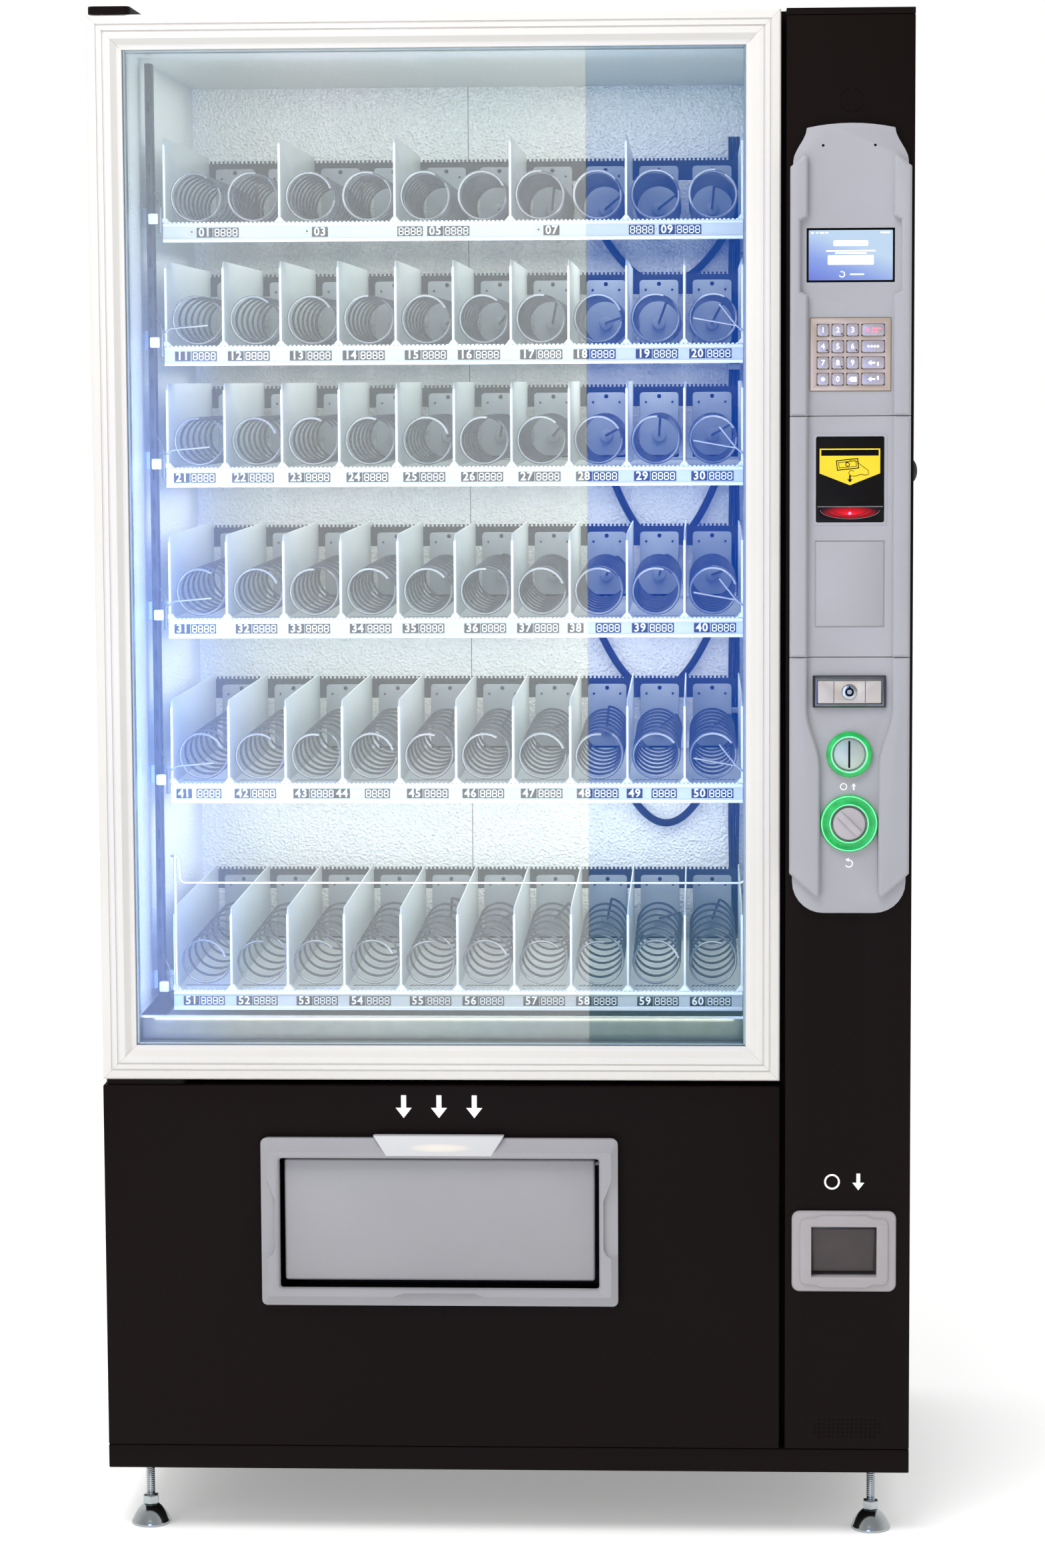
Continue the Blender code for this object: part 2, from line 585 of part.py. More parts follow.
def lower_panel():
    blank, hollow = open_pan((-HALF, GLASS_RIGHT), (Y_FACE, Y_CABINET - SEAT), (Z_BASE, Z_PANEL_TOP),
                             PANEL_SHEET)
    window = block((PICKUP_X - PICKUP_W / 2 + PICKUP_FLANGE, PICKUP_X + PICKUP_W / 2 - PICKUP_FLANGE),
                   (Y_FACE - WALL, Y_FACE + WALL),
                   (PICKUP_Z - PICKUP_H / 2 + PICKUP_FLANGE, PICKUP_Z + PICKUP_H / 2 - PICKUP_FLANGE))
    return part("lower_panel", blank, black_paint, cuts=[hollow, window])


def pickup_frame():
    """Moulded surround of the delivery opening, with finger recesses and a lens tab."""
    y_front = Y_FACE - PICKUP_PROUD
    sleeve_w = PICKUP_W - 2 * PICKUP_FLANGE - 2 * SEAT
    sleeve_h = PICKUP_H - 2 * PICKUP_FLANGE - 2 * SEAT
    blank = prism(rounded((PICKUP_X, PICKUP_Z), (PICKUP_W, PICKUP_H), PICKUP_ROUND), "y",
                  (y_front, Y_FACE - SEAT), chamfer=3 * MM)
    sleeve = block((PICKUP_X - sleeve_w / 2, PICKUP_X + sleeve_w / 2), (y_front + 5 * MM, Y_CABINET - SEAT),
                   (PICKUP_Z - sleeve_h / 2, PICKUP_Z + sleeve_h / 2))
    lens_top = PICKUP_Z + PICKUP_H / 2 + LENS_RISE
    low_half, top_half = LENS_BOTTOM_W / 2, LENS_TOP_W / 2
    lens = prism([(PICKUP_X - low_half, lens_top - LENS_H), (PICKUP_X + low_half, lens_top - LENS_H),
                  (PICKUP_X + top_half, lens_top), (PICKUP_X - top_half, lens_top)], "y",
                 (y_front - LENS_PROUD, Y_FACE - SEAT))
    opening = block((PICKUP_X - OPENING_W / 2, PICKUP_X + OPENING_W / 2), (Y_FRONT - WALL, Y_CABINET + WALL),
                    (OPENING_TOP - OPENING_H, OPENING_TOP))
    bore_reach = FLAP_W / 2 + (OPENING_W - FLAP_W) / 2 + FLAP_PIN_REACH + SEAT
    bore = rod("x", flap_axis(), FLAP_PIN_R + RUN, (PICKUP_X - bore_reach, PICKUP_X + bore_reach), 16)
    notch_z, notch_half = PICKUP_Z + 3 * MM, 50 * MM
    notch_x = (PICKUP_W / 2 - 8 * MM, OPENING_W / 2 - 2 * MM)
    notches = []
    for side in (-1, 1):
        outer, inner = PICKUP_X + side * notch_x[0], PICKUP_X + side * notch_x[1]
        notches.append(prism([(outer, notch_z - notch_half + 14 * MM), (inner, notch_z - notch_half),
                              (inner, notch_z + notch_half), (outer, notch_z + notch_half - 14 * MM)],
                             "y", (y_front - WALL, y_front + NOTCH_DEPTH)))
    low = OPENING_TOP - OPENING_H
    notches.append(prism([(PICKUP_X - 55 * MM, low + 2 * MM), (PICKUP_X - 45 * MM, low - 8 * MM),
                          (PICKUP_X + 45 * MM, low - 8 * MM), (PICKUP_X + 55 * MM, low + 2 * MM)],
                         "y", (y_front - WALL, y_front + NOTCH_DEPTH)))
    return part("pickup_frame", blank, grey_abs, joins=[sleeve, lens], cuts=[opening, bore, *notches])


def flap_axis():
    """The flap's hinge line as (y, z)."""
    return Y_FACE - FLAP_FRONT + FLAP_AXIS_BACK, FLAP_TOP - FLAP_AXIS_DROP


def pickup_flap():
    y_axis, z_axis = flap_axis()
    hinge = carrier("pickup_flap_hinge", (PICKUP_X, y_axis, z_axis))
    y = (Y_FACE - FLAP_FRONT, Y_FACE - FLAP_FRONT + FLAP_THICK)
    outline = rounded((PICKUP_X, FLAP_TOP - FLAP_H / 2), (FLAP_W, FLAP_H), 3 * MM, 2)
    blank = prism(outline, "y", y, chamfer=2 * MM)
    reach = OPENING_W / 2 + FLAP_PIN_REACH
    pins = rod("x", (y_axis, z_axis), FLAP_PIN_R, (PICKUP_X - reach, PICKUP_X + reach), 12)
    hollow = block((PICKUP_X - FLAP_W / 2 + 8 * MM, PICKUP_X + FLAP_W / 2 - 8 * MM),
                   (y[0] + 4 * MM, y[1] + WALL), (FLAP_TOP - FLAP_H + 8 * MM, FLAP_TOP - 16 * MM))
    return part("pickup_flap", blank, grey_abs, hinge, joins=[pins], cuts=[hollow])


def delivery_bin():
    """Hopper under the drop opening, narrowing to the pickup window."""
    y_front = Y_CABINET + SEAT
    y = (y_front, y_front + BIN_DEPTH)
    top = DECK_UNDER - SEAT
    mouth_left, mouth_right = CHAMBER_LEFT + SEAT, CHAMBER_RIGHT - SEAT

    def hopper(inset, top_z):
        return [(PICKUP_X + BIN_HALF_LOW - inset, BIN_FLOOR + inset),
                (PICKUP_X + BIN_HALF_LOW - inset, BIN_SHOULDER_LOW + inset / 2),
                (mouth_right - inset, BIN_SHOULDER_HIGH + inset / 2), (mouth_right - inset, top_z),
                (mouth_left + inset, top_z), (mouth_left + inset, BIN_SHOULDER_HIGH + inset / 2),
                (PICKUP_X - BIN_HALF_LOW + inset, BIN_SHOULDER_LOW + inset / 2),
                (PICKUP_X - BIN_HALF_LOW + inset, BIN_FLOOR + inset)]

    hollow = prism(hopper(BIN_WALL, top + WALL), "y", (y[0] + BIN_WALL, y[1] - BIN_WALL))
    window = block((PICKUP_X - OPENING_W / 2, PICKUP_X + OPENING_W / 2), (y[0] - WALL, y[0] + WALL / 2),
                   (OPENING_TOP - OPENING_H, OPENING_TOP))
    return part("delivery_bin", prism(hopper(0, top), "y", y), galvanised, cuts=[hollow, window])


def tray(index):
    """Pan with lane dividers, price rail at the front and vend motors at the back."""
    low = TRAY_UNDERSIDES[index]
    lanes = TRAY_LANES[index]
    floor = low + RAIL_HEIGHT
    lane = TRAY_WIDTH / lanes
    motors = TRAY_LANES[SPIRAL_TRAY]
    top = floor + DIVIDER_HEIGHT
    half = TRAY_SHEET / 2
    comb = [(TRAY_LEFT - half, floor - TRAY_SHEET)]
    comb.append((TRAY_LEFT + TRAY_WIDTH + half, floor - TRAY_SHEET))
    for divider in range(lanes, -1, -1):
        x = TRAY_LEFT + divider * lane
        wall = [(x + half, floor), (x + half, top), (x - half, top), (x - half, floor)]
        comb += wall[1 if divider == lanes else 0:3 if divider == 0 else 4]
    pan = prism(comb, "y", (Y_TRAY, Y_TRAY_BACK - MOTOR_PLATE / 2))

    nose = [(Y_TRAY - WALL, top + WALL), (Y_TRAY - WALL, top - DIVIDER_ROUND)]
    for step in range(4):
        angle = math.pi / 2 * step / 3
        nose.append((Y_TRAY + DIVIDER_ROUND * (1 - math.cos(angle)),
                     top - DIVIDER_ROUND * (1 - math.sin(angle))))
    nose.append((Y_TRAY + DIVIDER_ROUND, top + WALL))
    wide = (TRAY_LEFT - WALL, TRAY_LEFT + TRAY_WIDTH + WALL)
    span = (TRAY_LEFT - half, TRAY_LEFT + TRAY_WIDTH + half)
    y_rail, lip, groove = Y_TRAY - RAIL_THICK, RAIL_LIP, RAIL_GROOVE
    flange = (span[0] - half / 2, span[1] + half / 2)
    brow = floor + half / 2
    rail = prism([(Y_TRAY + TRAY_SHEET, low), (Y_TRAY + TRAY_SHEET, brow), (y_rail + groove, brow),
                  (y_rail, floor - groove), (y_rail, floor - lip), (y_rail + groove, floor - lip),
                  (y_rail + groove, low + lip), (y_rail, low + lip), (y_rail, low)], "x", flange)
    y_plate = Y_TRAY_BACK - MOTOR_PLATE
    plate = block(flange, (y_plate, Y_TRAY_BACK), (floor - 1.5 * TRAY_SHEET, floor + MOTOR_PLATE_H))
    drives = bmesh.new()
    hub_z = floor + SPIRAL_FLOOR_GAP + SPIRAL_R + SPIRAL_WIRE / 2
    for motor in range(motors):
        x = TRAY_LEFT + (motor + 0.5) * TRAY_WIDTH / motors
        place = Vector((x, Y_TRAY_BACK + MOTOR_SIZE[1] / 2 - half, floor + MOTOR_SIZE[2] / 2 + half))
        bmesh.ops.create_cube(drives, size=1.0,
                              matrix=Matrix.Translation(place) @ Matrix.Diagonal((*MOTOR_SIZE, 1.0)))
    hubs = bmesh.new()
    for motor in range(motors):
        x = TRAY_LEFT + (motor + 0.5) * TRAY_WIDTH / motors
        place = Matrix.Translation((x, y_plate - HUB_LENGTH / 2 + half, hub_z))
        bmesh.ops.create_cone(hubs, cap_ends=True, segments=6, radius1=HUB_R, radius2=HUB_R,
                              depth=HUB_LENGTH + TRAY_SHEET,
                              matrix=place @ Matrix.Rotation(math.pi / 2, 4, "X"))
    lugs = []
    for inner, outer in ((span[0], CHAMBER_LEFT + SEAT), (span[1], CHAMBER_RIGHT - SEAT)):
        x = (min(inner, outer), max(inner, outer))
        x = (x[0] - (half if x[0] == inner else 0), x[1] + (half if x[1] == inner else 0))
        for y in (Y_TRAY + 2 * TRAY_LUG, y_plate - 3 * TRAY_LUG):
            lugs.append(block(x, (y, y + TRAY_LUG), (floor - half, floor + 2 * TRAY_LUG)))
    return part(f"tray_{index + 1}", pan, white_steel, cuts=[prism(nose, "x", wide)],
                joins=[rail, plate, drives, hubs, *lugs])


def spiral_path():
    """Points of one vend spiral about the Y axis, from its drive hub to its open front end."""
    y_hub = Y_TRAY_BACK - MOTOR_PLATE - HUB_LENGTH
    start = y_hub - SEAT - 2 * SPIRAL_LEAD
    end = Y_TRAY + SPIRAL_WIRE
    pitch = (start - end) / SPIRAL_TURNS
    points = [Vector((0, y_hub - SEAT, 0)), Vector((0, y_hub - SEAT - SPIRAL_LEAD, 0)),
              Vector((0, y_hub - SEAT - 1.5 * SPIRAL_LEAD, SPIRAL_R / 2))]
    for step in range(SPIRAL_TURNS * SPIRAL_STEPS + 1):
        turn = step / SPIRAL_STEPS
        angle = 2 * math.pi * turn
        points.append(Vector((SPIRAL_R * math.sin(angle), start - pitch * turn, SPIRAL_R * math.cos(angle))))
    return points


def least_self_gap(points):
    """Smallest clear distance between stretches of the wire half a turn or more apart."""
    cloud = np.array([tuple(point) for point in points])
    apart = SPIRAL_STEPS // 2
    gaps = [np.linalg.norm(cloud[index + apart:] - cloud[index], axis=1).min()
            for index in range(len(cloud) - apart)]
    return min(gaps) - SPIRAL_WIRE


def spirals():
    points = spiral_path()
    lane = TRAY_WIDTH / TRAY_LANES[SPIRAL_TRAY]
    z = TRAY_UNDERSIDES[SPIRAL_TRAY] + RAIL_HEIGHT + SPIRAL_FLOOR_GAP + SPIRAL_R + SPIRAL_WIRE / 2
    for number in range(TRAY_LANES[SPIRAL_TRAY]):
        curve = bpy.data.curves.new(f"spiral_{number + 1:02d}", "CURVE")
        curve.dimensions = "3D"
        curve.bevel_depth = SPIRAL_WIRE / 2
        curve.bevel_resolution = 1
        curve.use_fill_caps = True
        spline = curve.splines.new("POLY")
        spline.points.add(len(points) - 1)
        for target, point in zip(spline.points, points):
            target.co = (*point, 1.0)
        obj = bpy.data.objects.new(curve.name, curve)
        obj.location = (TRAY_LEFT + (number + 0.5) * lane, 0, z)
        obj.data.materials.append(spring_steel)
        parts.objects.link(obj)
    print(f"least gap of a spiral to itself: {least_self_gap(points) / MM:.2f} mm")


def door_frame(hinge):
    """Mitred aluminium surround with grooves, a sloped inner face and a glazing rebate."""
    glass_back = GLASS_SETBACK + GLASS_THICK
    groove = FRAME_GROOVE
    profile = [(0, 0), (12 * MM, 0), (12 * MM, groove), (13.5 * MM, groove), (13.5 * MM, 0), (20 * MM, 0),
               (20 * MM, groove), (21.5 * MM, groove), (21.5 * MM, 0), (29 * MM, 0), (38 * MM, 7 * MM),
               (FRAME_BAR, 7 * MM), (FRAME_BAR, GLASS_SETBACK - SEAT),
               (FRAME_BAR - GLASS_BITE - SEAT, GLASS_SETBACK - SEAT),
               (FRAME_BAR - GLASS_BITE - SEAT, glass_back + SEAT), (FRAME_BAR, glass_back + SEAT),
               (FRAME_BAR, DOOR_THICK), (0, DOOR_THICK)]
    corners = [(-HALF, Z_GLASS_BOTTOM, 1, 1), (GLASS_RIGHT, Z_GLASS_BOTTOM, -1, 1),
               (GLASS_RIGHT, Z_GLASS_TOP, -1, -1), (-HALF, Z_GLASS_TOP, 1, -1)]
    bm = bmesh.new()
    loops = []
    for x, z, toward_x, toward_z in corners:
        ring = [bm.verts.new((x + toward_x * inset, Y_FACE + depth, z + toward_z * inset))
                for inset, depth in profile]
        loops.append([bm.edges.new(pair) for pair in zip(ring, ring[1:] + ring[:1])])
    for first, second in zip(loops, loops[1:] + loops[:1]):
        bmesh.ops.bridge_loops(bm, edges=first + second)
    bmesh.ops.recalc_face_normals(bm, faces=bm.faces)
    bores = [rod("z", (-HALF + PIVOT_INSET, Y_PIVOT), PIN_R + RUN, span) for span in
             ((Z_GLASS_BOTTOM - WALL, Z_GLASS_BOTTOM + PIN_DEPTH + SEAT),
              (Z_GLASS_TOP - PIN_DEPTH - SEAT, Z_GLASS_TOP + WALL))]
    return part("door_frame", bm, white_profile, hinge, cuts=bores)


def glass_door():
    hinge = carrier("glass_door_hinge", (-HALF + PIVOT_INSET, Y_PIVOT, Z_GLASS_BOTTOM))
    door_frame(hinge)
    edge = FRAME_BAR - GLASS_BITE
    pane = block((-HALF + edge, GLASS_RIGHT - edge),
                 (Y_FACE + GLASS_SETBACK, Y_FACE + GLASS_SETBACK + GLASS_THICK),
                 (Z_GLASS_BOTTOM + edge, Z_GLASS_TOP - edge))
    part("glazing_unit", pane, clear_glass, hinge)
    y = (Y_DOOR_BACK + SEAT, Y_CABINET - SEAT)

    def seal(inset, depth):
        return block((-HALF + inset, GLASS_RIGHT - inset), depth,
                     (Z_GLASS_BOTTOM + inset, Z_GLASS_TOP - inset))

    part("door_gasket", seal(GASKET_INSET, y), black_rubber, hinge,
         cuts=[seal(GASKET_INSET + GASKET_W, (y[0] - WALL, y[1] + WALL))])


def bezel_window(z, width, height, margin):
    """A through cut for a device set in the column's middle."""
    return block((COLUMN_X - width / 2 - margin, COLUMN_X + width / 2 + margin), (Y_FRONT - WALL, Y_CABINET),
                 (z - height / 2 - margin, z + height / 2 + margin))


def control_door(hinge):
    blank, hollow = open_pan((COLUMN_LEFT, HALF), (Y_FACE, Y_DOOR_BACK), (Z_COLUMN_BOTTOM, Z_COLUMN_TOP),
                             DOOR_SHEET)
    margin = 1 * MM
    windows = [bezel_window(z, width, height, margin) for z, width, height in
               ((DISPLAY_Z, DISPLAY_W, DISPLAY_H), (KEYPAD_Z, KEYPAD_W, KEYPAD_H), (BILL_Z, BILL_W, BILL_H),
                (LOCK_Z, LOCK_W, LOCK_H), (COIN_Z, COIN_SLOT_W * 4, COIN_SLOT_H),
                (KNOB_Z, KNOB_SHAFT_R * 3, KNOB_SHAFT_R * 3))]
    cup_x = COLUMN_X + CUP_OFFSET_X
    half_w, half_h = CUP_OPEN_W / 2 + CUP_WALL + SEAT, CUP_OPEN_H / 2 + CUP_WALL + SEAT
    windows.append(block((cup_x - half_w, cup_x + half_w), (Y_FRONT - WALL, Y_CABINET),
                         (CUP_Z - half_h, CUP_Z + half_h)))
    bores = [rod("z", (HALF - PIVOT_INSET, Y_PIVOT), PIN_R + RUN, span) for span in
             ((Z_COLUMN_BOTTOM - WALL, Z_COLUMN_BOTTOM + WALL), (Z_COLUMN_TOP - WALL, Z_COLUMN_TOP + WALL))]
    return part("control_door", blank, black_paint, hinge, cuts=[hollow, *windows, *bores])


def bezel_wings(half):
    """Both raised side wings from the outline of the right one."""
    y = (Y_FACE - WING_PROUD, Y_BASE + BASE_PROUD / 2)
    return [prism([(COLUMN_X + side * x, z) for x, z in half], "y", y, chamfer=WING_CHAMFER)
            for side in (1, -1)]


def bezel_upper(hinge):
    low = SEAM_UPPER + SEAM_GAP / 2
    half = [(BASE_HALF, low), (BASE_HALF, SHOULDER_Z)]
    for step in range(1, 7):
        share = step / 6
        ease = share * share * (3 - 2 * share)
        half.append((BASE_HALF - (BASE_HALF - CROWN_HALF) * ease,
                     SHOULDER_Z + (CROWN_TOP - CROWN_RISE - SHOULDER_Z) * share))
    for step in range(1, 5):
        share = 1 - step / 4
        half.append((CROWN_HALF * share, CROWN_TOP - CROWN_RISE * share ** 2))
    base = prism(mirrored(half, COLUMN_X), "y", (Y_BASE, Y_FACE - SEAT))
    slant = DISPLAY_STEP - WING_INNER
    wing = [(BEZEL_HALF, low), (BEZEL_HALF, WING_TOP_OUTER), (WING_INNER + WING_TIP_ROUND, WING_TOP_INNER),
            (WING_INNER, WING_TOP_INNER - WING_TIP_ROUND / 2), (WING_INNER, DISPLAY_STEP_HIGH + slant / 2),
            (DISPLAY_STEP, DISPLAY_STEP_HIGH), (DISPLAY_STEP, DISPLAY_STEP_LOW),
            (WING_INNER, DISPLAY_STEP_LOW - slant / 2), (WING_INNER, low)]
    windows = [bezel_window(DISPLAY_Z, DISPLAY_W, DISPLAY_H, SEAT),
               bezel_window(KEYPAD_Z, KEYPAD_W, KEYPAD_H, SEAT)]
    part("bezel_upper", base, grey_abs, hinge, joins=bezel_wings(wing), cuts=windows)


def bezel_middle(hinge):
    z = (SEAM_LOWER + SEAM_GAP / 2, SEAM_UPPER - SEAM_GAP / 2)
    base = block((COLUMN_X - BASE_HALF, COLUMN_X + BASE_HALF), (Y_BASE, Y_FACE - SEAT), z)
    wing = [(BEZEL_HALF, z[0]), (BEZEL_HALF, z[1]), (WING_INNER, z[1]), (WING_INNER, z[0])]
    groove_y = (Y_BASE - WALL, Y_BASE + BLANK_GROOVE)
    strips = []
    for side in (-1, 1):
        x = COLUMN_X + side * (BLANK_W - BLANK_GROOVE) / 2
        strips.append(block((x - BLANK_GROOVE / 2, x + BLANK_GROOVE / 2), groove_y,
                            (BLANK_Z - BLANK_H / 2, BLANK_Z + BLANK_H / 2)))
        edge = BLANK_Z + side * (BLANK_H - BLANK_GROOVE) / 2
        strips.append(block((COLUMN_X - BLANK_W / 2, COLUMN_X + BLANK_W / 2), groove_y,
                            (edge - BLANK_GROOVE / 2, edge + BLANK_GROOVE / 2)))
    part("bezel_middle", base, grey_abs, hinge, joins=bezel_wings(wing),
         cuts=[bezel_window(BILL_Z, BILL_W, BILL_H, SEAT), *strips])


def ring_profile(z, outer, inner, proud, segments=20):
    """A raised ring round a control: its solid and the dish cut into it."""
    solid = rod("y", (COLUMN_X, z), outer, (Y_BASE - proud, Y_BASE + BASE_PROUD / 2), segments)
    rim = [edge for edge in solid.edges if all(vert.co.y < Y_BASE for vert in edge.verts)]
    bmesh.ops.bevel(solid, geom=rim, offset=proud * 0.4, segments=1, profile=0.5, affect="EDGES")
    dish = rod("y", (COLUMN_X, z), inner, (Y_BASE - proud - WALL, Y_BASE - proud / 4), segments)
    return solid, dish


def bezel_lower(hinge):
    """Lowest bezel piece, which narrows round the coin slot and the return knob."""
    high = SEAM_LOWER - SEAM_GAP / 2
    half = [(0, BEZEL_BOTTOM)]
    for step in range(8):
        angle = math.pi / 2 * step / 7
        half.append((BASE_HALF - BEZEL_BOTTOM_ROUND * (1 - math.sin(angle)),
                     BEZEL_BOTTOM + BEZEL_BOTTOM_ROUND * (1 - math.cos(angle))))
    half.append((BASE_HALF, high))
    base = prism(mirrored(half, COLUMN_X), "y", (Y_BASE, Y_FACE - SEAT))
    tip = WING_NARROW + WING_TIP_ROUND
    wing = [(WING_NARROW, WING_END_INNER + WING_TIP_ROUND / 2), (tip, WING_END_INNER),
            (BEZEL_HALF, WING_END_OUTER), (BEZEL_HALF, high), (WING_INNER, high)]
    for step in range(7):
        share = step / 6
        ease = share * share * (3 - 2 * share)
        wing.append((WING_INNER + (WING_NARROW - WING_INNER) * ease,
                     WING_WIDE_Z + (WING_NARROW_Z - WING_WIDE_Z) * share))
    coin_ring, coin_dish = ring_profile(COIN_Z, COIN_RING_R, COIN_PLATE_R, COIN_RING_PROUD)
    knob_ring, knob_dish = ring_profile(KNOB_Z, KNOB_RING_R, KNOB_RING_INNER, KNOB_RING_PROUD)
    slot = bezel_window(COIN_Z, COIN_SLOT_W, COIN_SLOT_H, 0)
    shaft = rod("y", (COLUMN_X, KNOB_Z), KNOB_SHAFT_R + RUN, (Y_FRONT - WALL, Y_FACE + WALL), 16)
    part("bezel_lower", base, grey_abs, hinge, joins=[*bezel_wings(wing), coin_ring, knob_ring],
         cuts=[coin_dish, knob_dish, slot, shaft, bezel_window(LOCK_Z, LOCK_W, LOCK_H, SEAT)])


def key_places():
    """Keypad keys as name, x, z and width: three digit columns and one of wide function keys."""
    rows = (("1", "2", "3", "select"), ("4", "5", "6", "code"), ("7", "8", "9", "back"),
            ("star", "0", "clear", "enter"))
    for row, names in enumerate(rows):
        z = KEYPAD_Z + KEY_TOP_Z - row * KEY_PITCH_Z
        for column, name in enumerate(names):
            x = COLUMN_X + KEY_FIRST_X + column * KEY_PITCH_X
            if column < 3:
                yield name, x, z, KEY_SIZE
            else:
                last = x - KEY_PITCH_X + KEY_SIZE / 2
                yield name, last + KEY_FUNCTION_GAP + KEY_WIDE / 2, z, KEY_WIDE


def keypad(hinge):
    y_front = Y_BASE - KEYPAD_PROUD
    pockets = bmesh.new()
    for name, x, z, width in key_places():
        size = (width + 2 * RUN, 2 * KEY_POCKET, KEY_SIZE + 2 * RUN)
        bmesh.ops.create_cube(pockets, size=1.0,
                              matrix=Matrix.Translation((x, y_front, z)) @ Matrix.Diagonal((*size, 1.0)))
        key_carrier = carrier(f"key_{name}_slide", (x, y_front, z), hinge)
        outline = rounded((x, z), (width, KEY_SIZE), KEY_ROUND, 1)
        y = (y_front - KEY_PROUD, y_front + KEY_POCKET - KEY_TRAVEL - RUN)
        part(f"key_{name}", prism(outline, "y", y, chamfer=KEY_CHAMFER), bronze_plate, key_carrier)
    plate = block((COLUMN_X - KEYPAD_W / 2, COLUMN_X + KEYPAD_W / 2), (y_front, y_front + KEYPAD_DEPTH),
                  (KEYPAD_Z - KEYPAD_H / 2, KEYPAD_Z + KEYPAD_H / 2))
    part("keypad_plate", plate, bronze_plate, hinge, cuts=[pockets])


def display(hinge):
    y = Y_BASE + DISPLAY_SETBACK
    part("display", prism(rounded((COLUMN_X, DISPLAY_Z), (DISPLAY_W, DISPLAY_H), 3 * MM, 2), "y",
                          (y, y + DISPLAY_DEPTH), chamfer=1 * MM), screen, hinge)


def bill_validator(hinge):
    """Banknote reader with a lipped mouth across the foot of its face."""
    y = Y_BASE + BILL_SETBACK
    x = (COLUMN_X - BILL_W / 2, COLUMN_X + BILL_W / 2)
    blank = block(x, (y, y + BILL_DEPTH), (BILL_Z - BILL_H / 2, BILL_Z + BILL_H / 2))
    mouth_z = BILL_Z + BILL_MOUTH_Z
    mouth = [(COLUMN_X - BILL_MOUTH_W / 2, mouth_z + BILL_MOUTH_H / 2),
             (COLUMN_X + BILL_MOUTH_W / 2, mouth_z + BILL_MOUTH_H / 2)]
    for step in range(9):
        angle = math.pi * step / 8
        mouth.append((COLUMN_X + BILL_MOUTH_W / 2 * math.cos(angle),
                      mouth_z + BILL_MOUTH_H / 4 - 0.75 * BILL_MOUTH_H * math.sin(angle)))
    brow = prism([(y - 5 * MM, mouth_z + BILL_MOUTH_H / 2), (y + 1 * MM, mouth_z + BILL_MOUTH_H / 2),
                  (y + 1 * MM, mouth_z + BILL_MOUTH_H * 1.6)], "x", (x[0] + 2 * MM, x[1] - 2 * MM))
    part("bill_validator", blank, black_abs, hinge, joins=[brow],
         cuts=[prism(mouth, "y", (y - WALL, y + BILL_MOUTH_DEPTH))])


def lock(hinge):
    """Pop-out handle in a bevelled housing, with its key cylinder."""
    y_front = Y_FACE - LOCK_PROUD
    middle = (COLUMN_X, LOCK_Z)
    housing = prism(rounded(middle, (LOCK_W, LOCK_H), 2.5 * MM, 2), "y", (y_front, y_front + LOCK_DEPTH),
                    chamfer=LOCK_BEVEL)
    y_pocket = y_front + 1 * MM + HANDLE_THICK + SEAT
    pocket = block((COLUMN_X - HANDLE_W / 2 - RUN, COLUMN_X + HANDLE_W / 2 + RUN), (Y_FRONT - WALL, y_pocket),
                   (LOCK_Z - HANDLE_H / 2 - RUN, LOCK_Z + HANDLE_H / 2 + RUN))
    guide = rod("y", middle, HANDLE_BARREL_R + RUN, (Y_FRONT, Y_CABINET + LOCK_DEPTH))
    part("lock_housing", housing, chrome, hinge, cuts=[pocket, guide])
    slide = carrier("t_handle_slide", (COLUMN_X, y_front, LOCK_Z), hinge)
    y_plate = y_front + 1 * MM
    plate = prism(rounded(middle, (HANDLE_W, HANDLE_H), 1 * MM, 1), "y", (y_plate, y_plate + HANDLE_THICK),
                  chamfer=0.6 * MM)
    barrel = rod("y", middle, HANDLE_BARREL_R,
                 (y_plate + HANDLE_THICK / 2, y_plate + HANDLE_THICK + HANDLE_BARREL_L))
    seat = rod("y", middle, CYLINDER_R + RUN, (Y_FRONT - WALL, y_plate + CYLINDER_L + SEAT))
    part("t_handle", plate, chrome, slide, joins=[barrel], cuts=[seat])
    turn = carrier("key_cylinder_turn", (COLUMN_X, y_front, LOCK_Z), slide)
    core = rod("y", middle, CYLINDER_R, (y_plate - 0.6 * MM, y_plate + CYLINDER_L))
    keyway = block((COLUMN_X - 1.2 * MM, COLUMN_X + 1.2 * MM), (Y_FRONT - WALL, y_plate + 8 * MM),
                   (LOCK_Z - 4 * MM, LOCK_Z + 4 * MM))
    part("key_cylinder", core, chrome, turn, cuts=[keyway])


def return_knob(hinge):
    """Coin-return knob: a disc with a diagonal finger ridge on a shaft."""
    turn = carrier("return_knob_turn", (COLUMN_X, Y_BASE, KNOB_Z), hinge)
    middle = (COLUMN_X, KNOB_Z)
    y_back = Y_BASE - KNOB_RING_PROUD / 4 - RUN
    y_disc = y_back - KNOB_BODY
    disc = rod("y", middle, KNOB_R, (y_disc, y_back), 24)
    ridge = block((-KNOB_R * 0.94, KNOB_R * 0.94), (Y_FRONT, y_disc + 2 * MM),
                  (-KNOB_RIDGE_W / 2, KNOB_RIDGE_W / 2))
    bmesh.ops.rotate(ridge, verts=ridge.verts, cent=(0, 0, 0), matrix=Matrix.Rotation(KNOB_TILT, 3, "Y"))
    bmesh.ops.translate(ridge, verts=ridge.verts, vec=(COLUMN_X, 0, KNOB_Z))
    shaft = rod("y", middle, KNOB_SHAFT_R, (y_disc + KNOB_BODY / 2, Y_FACE + 8 * MM), 16)
    part("return_knob", disc, grey_abs, turn, joins=[ridge, shaft])


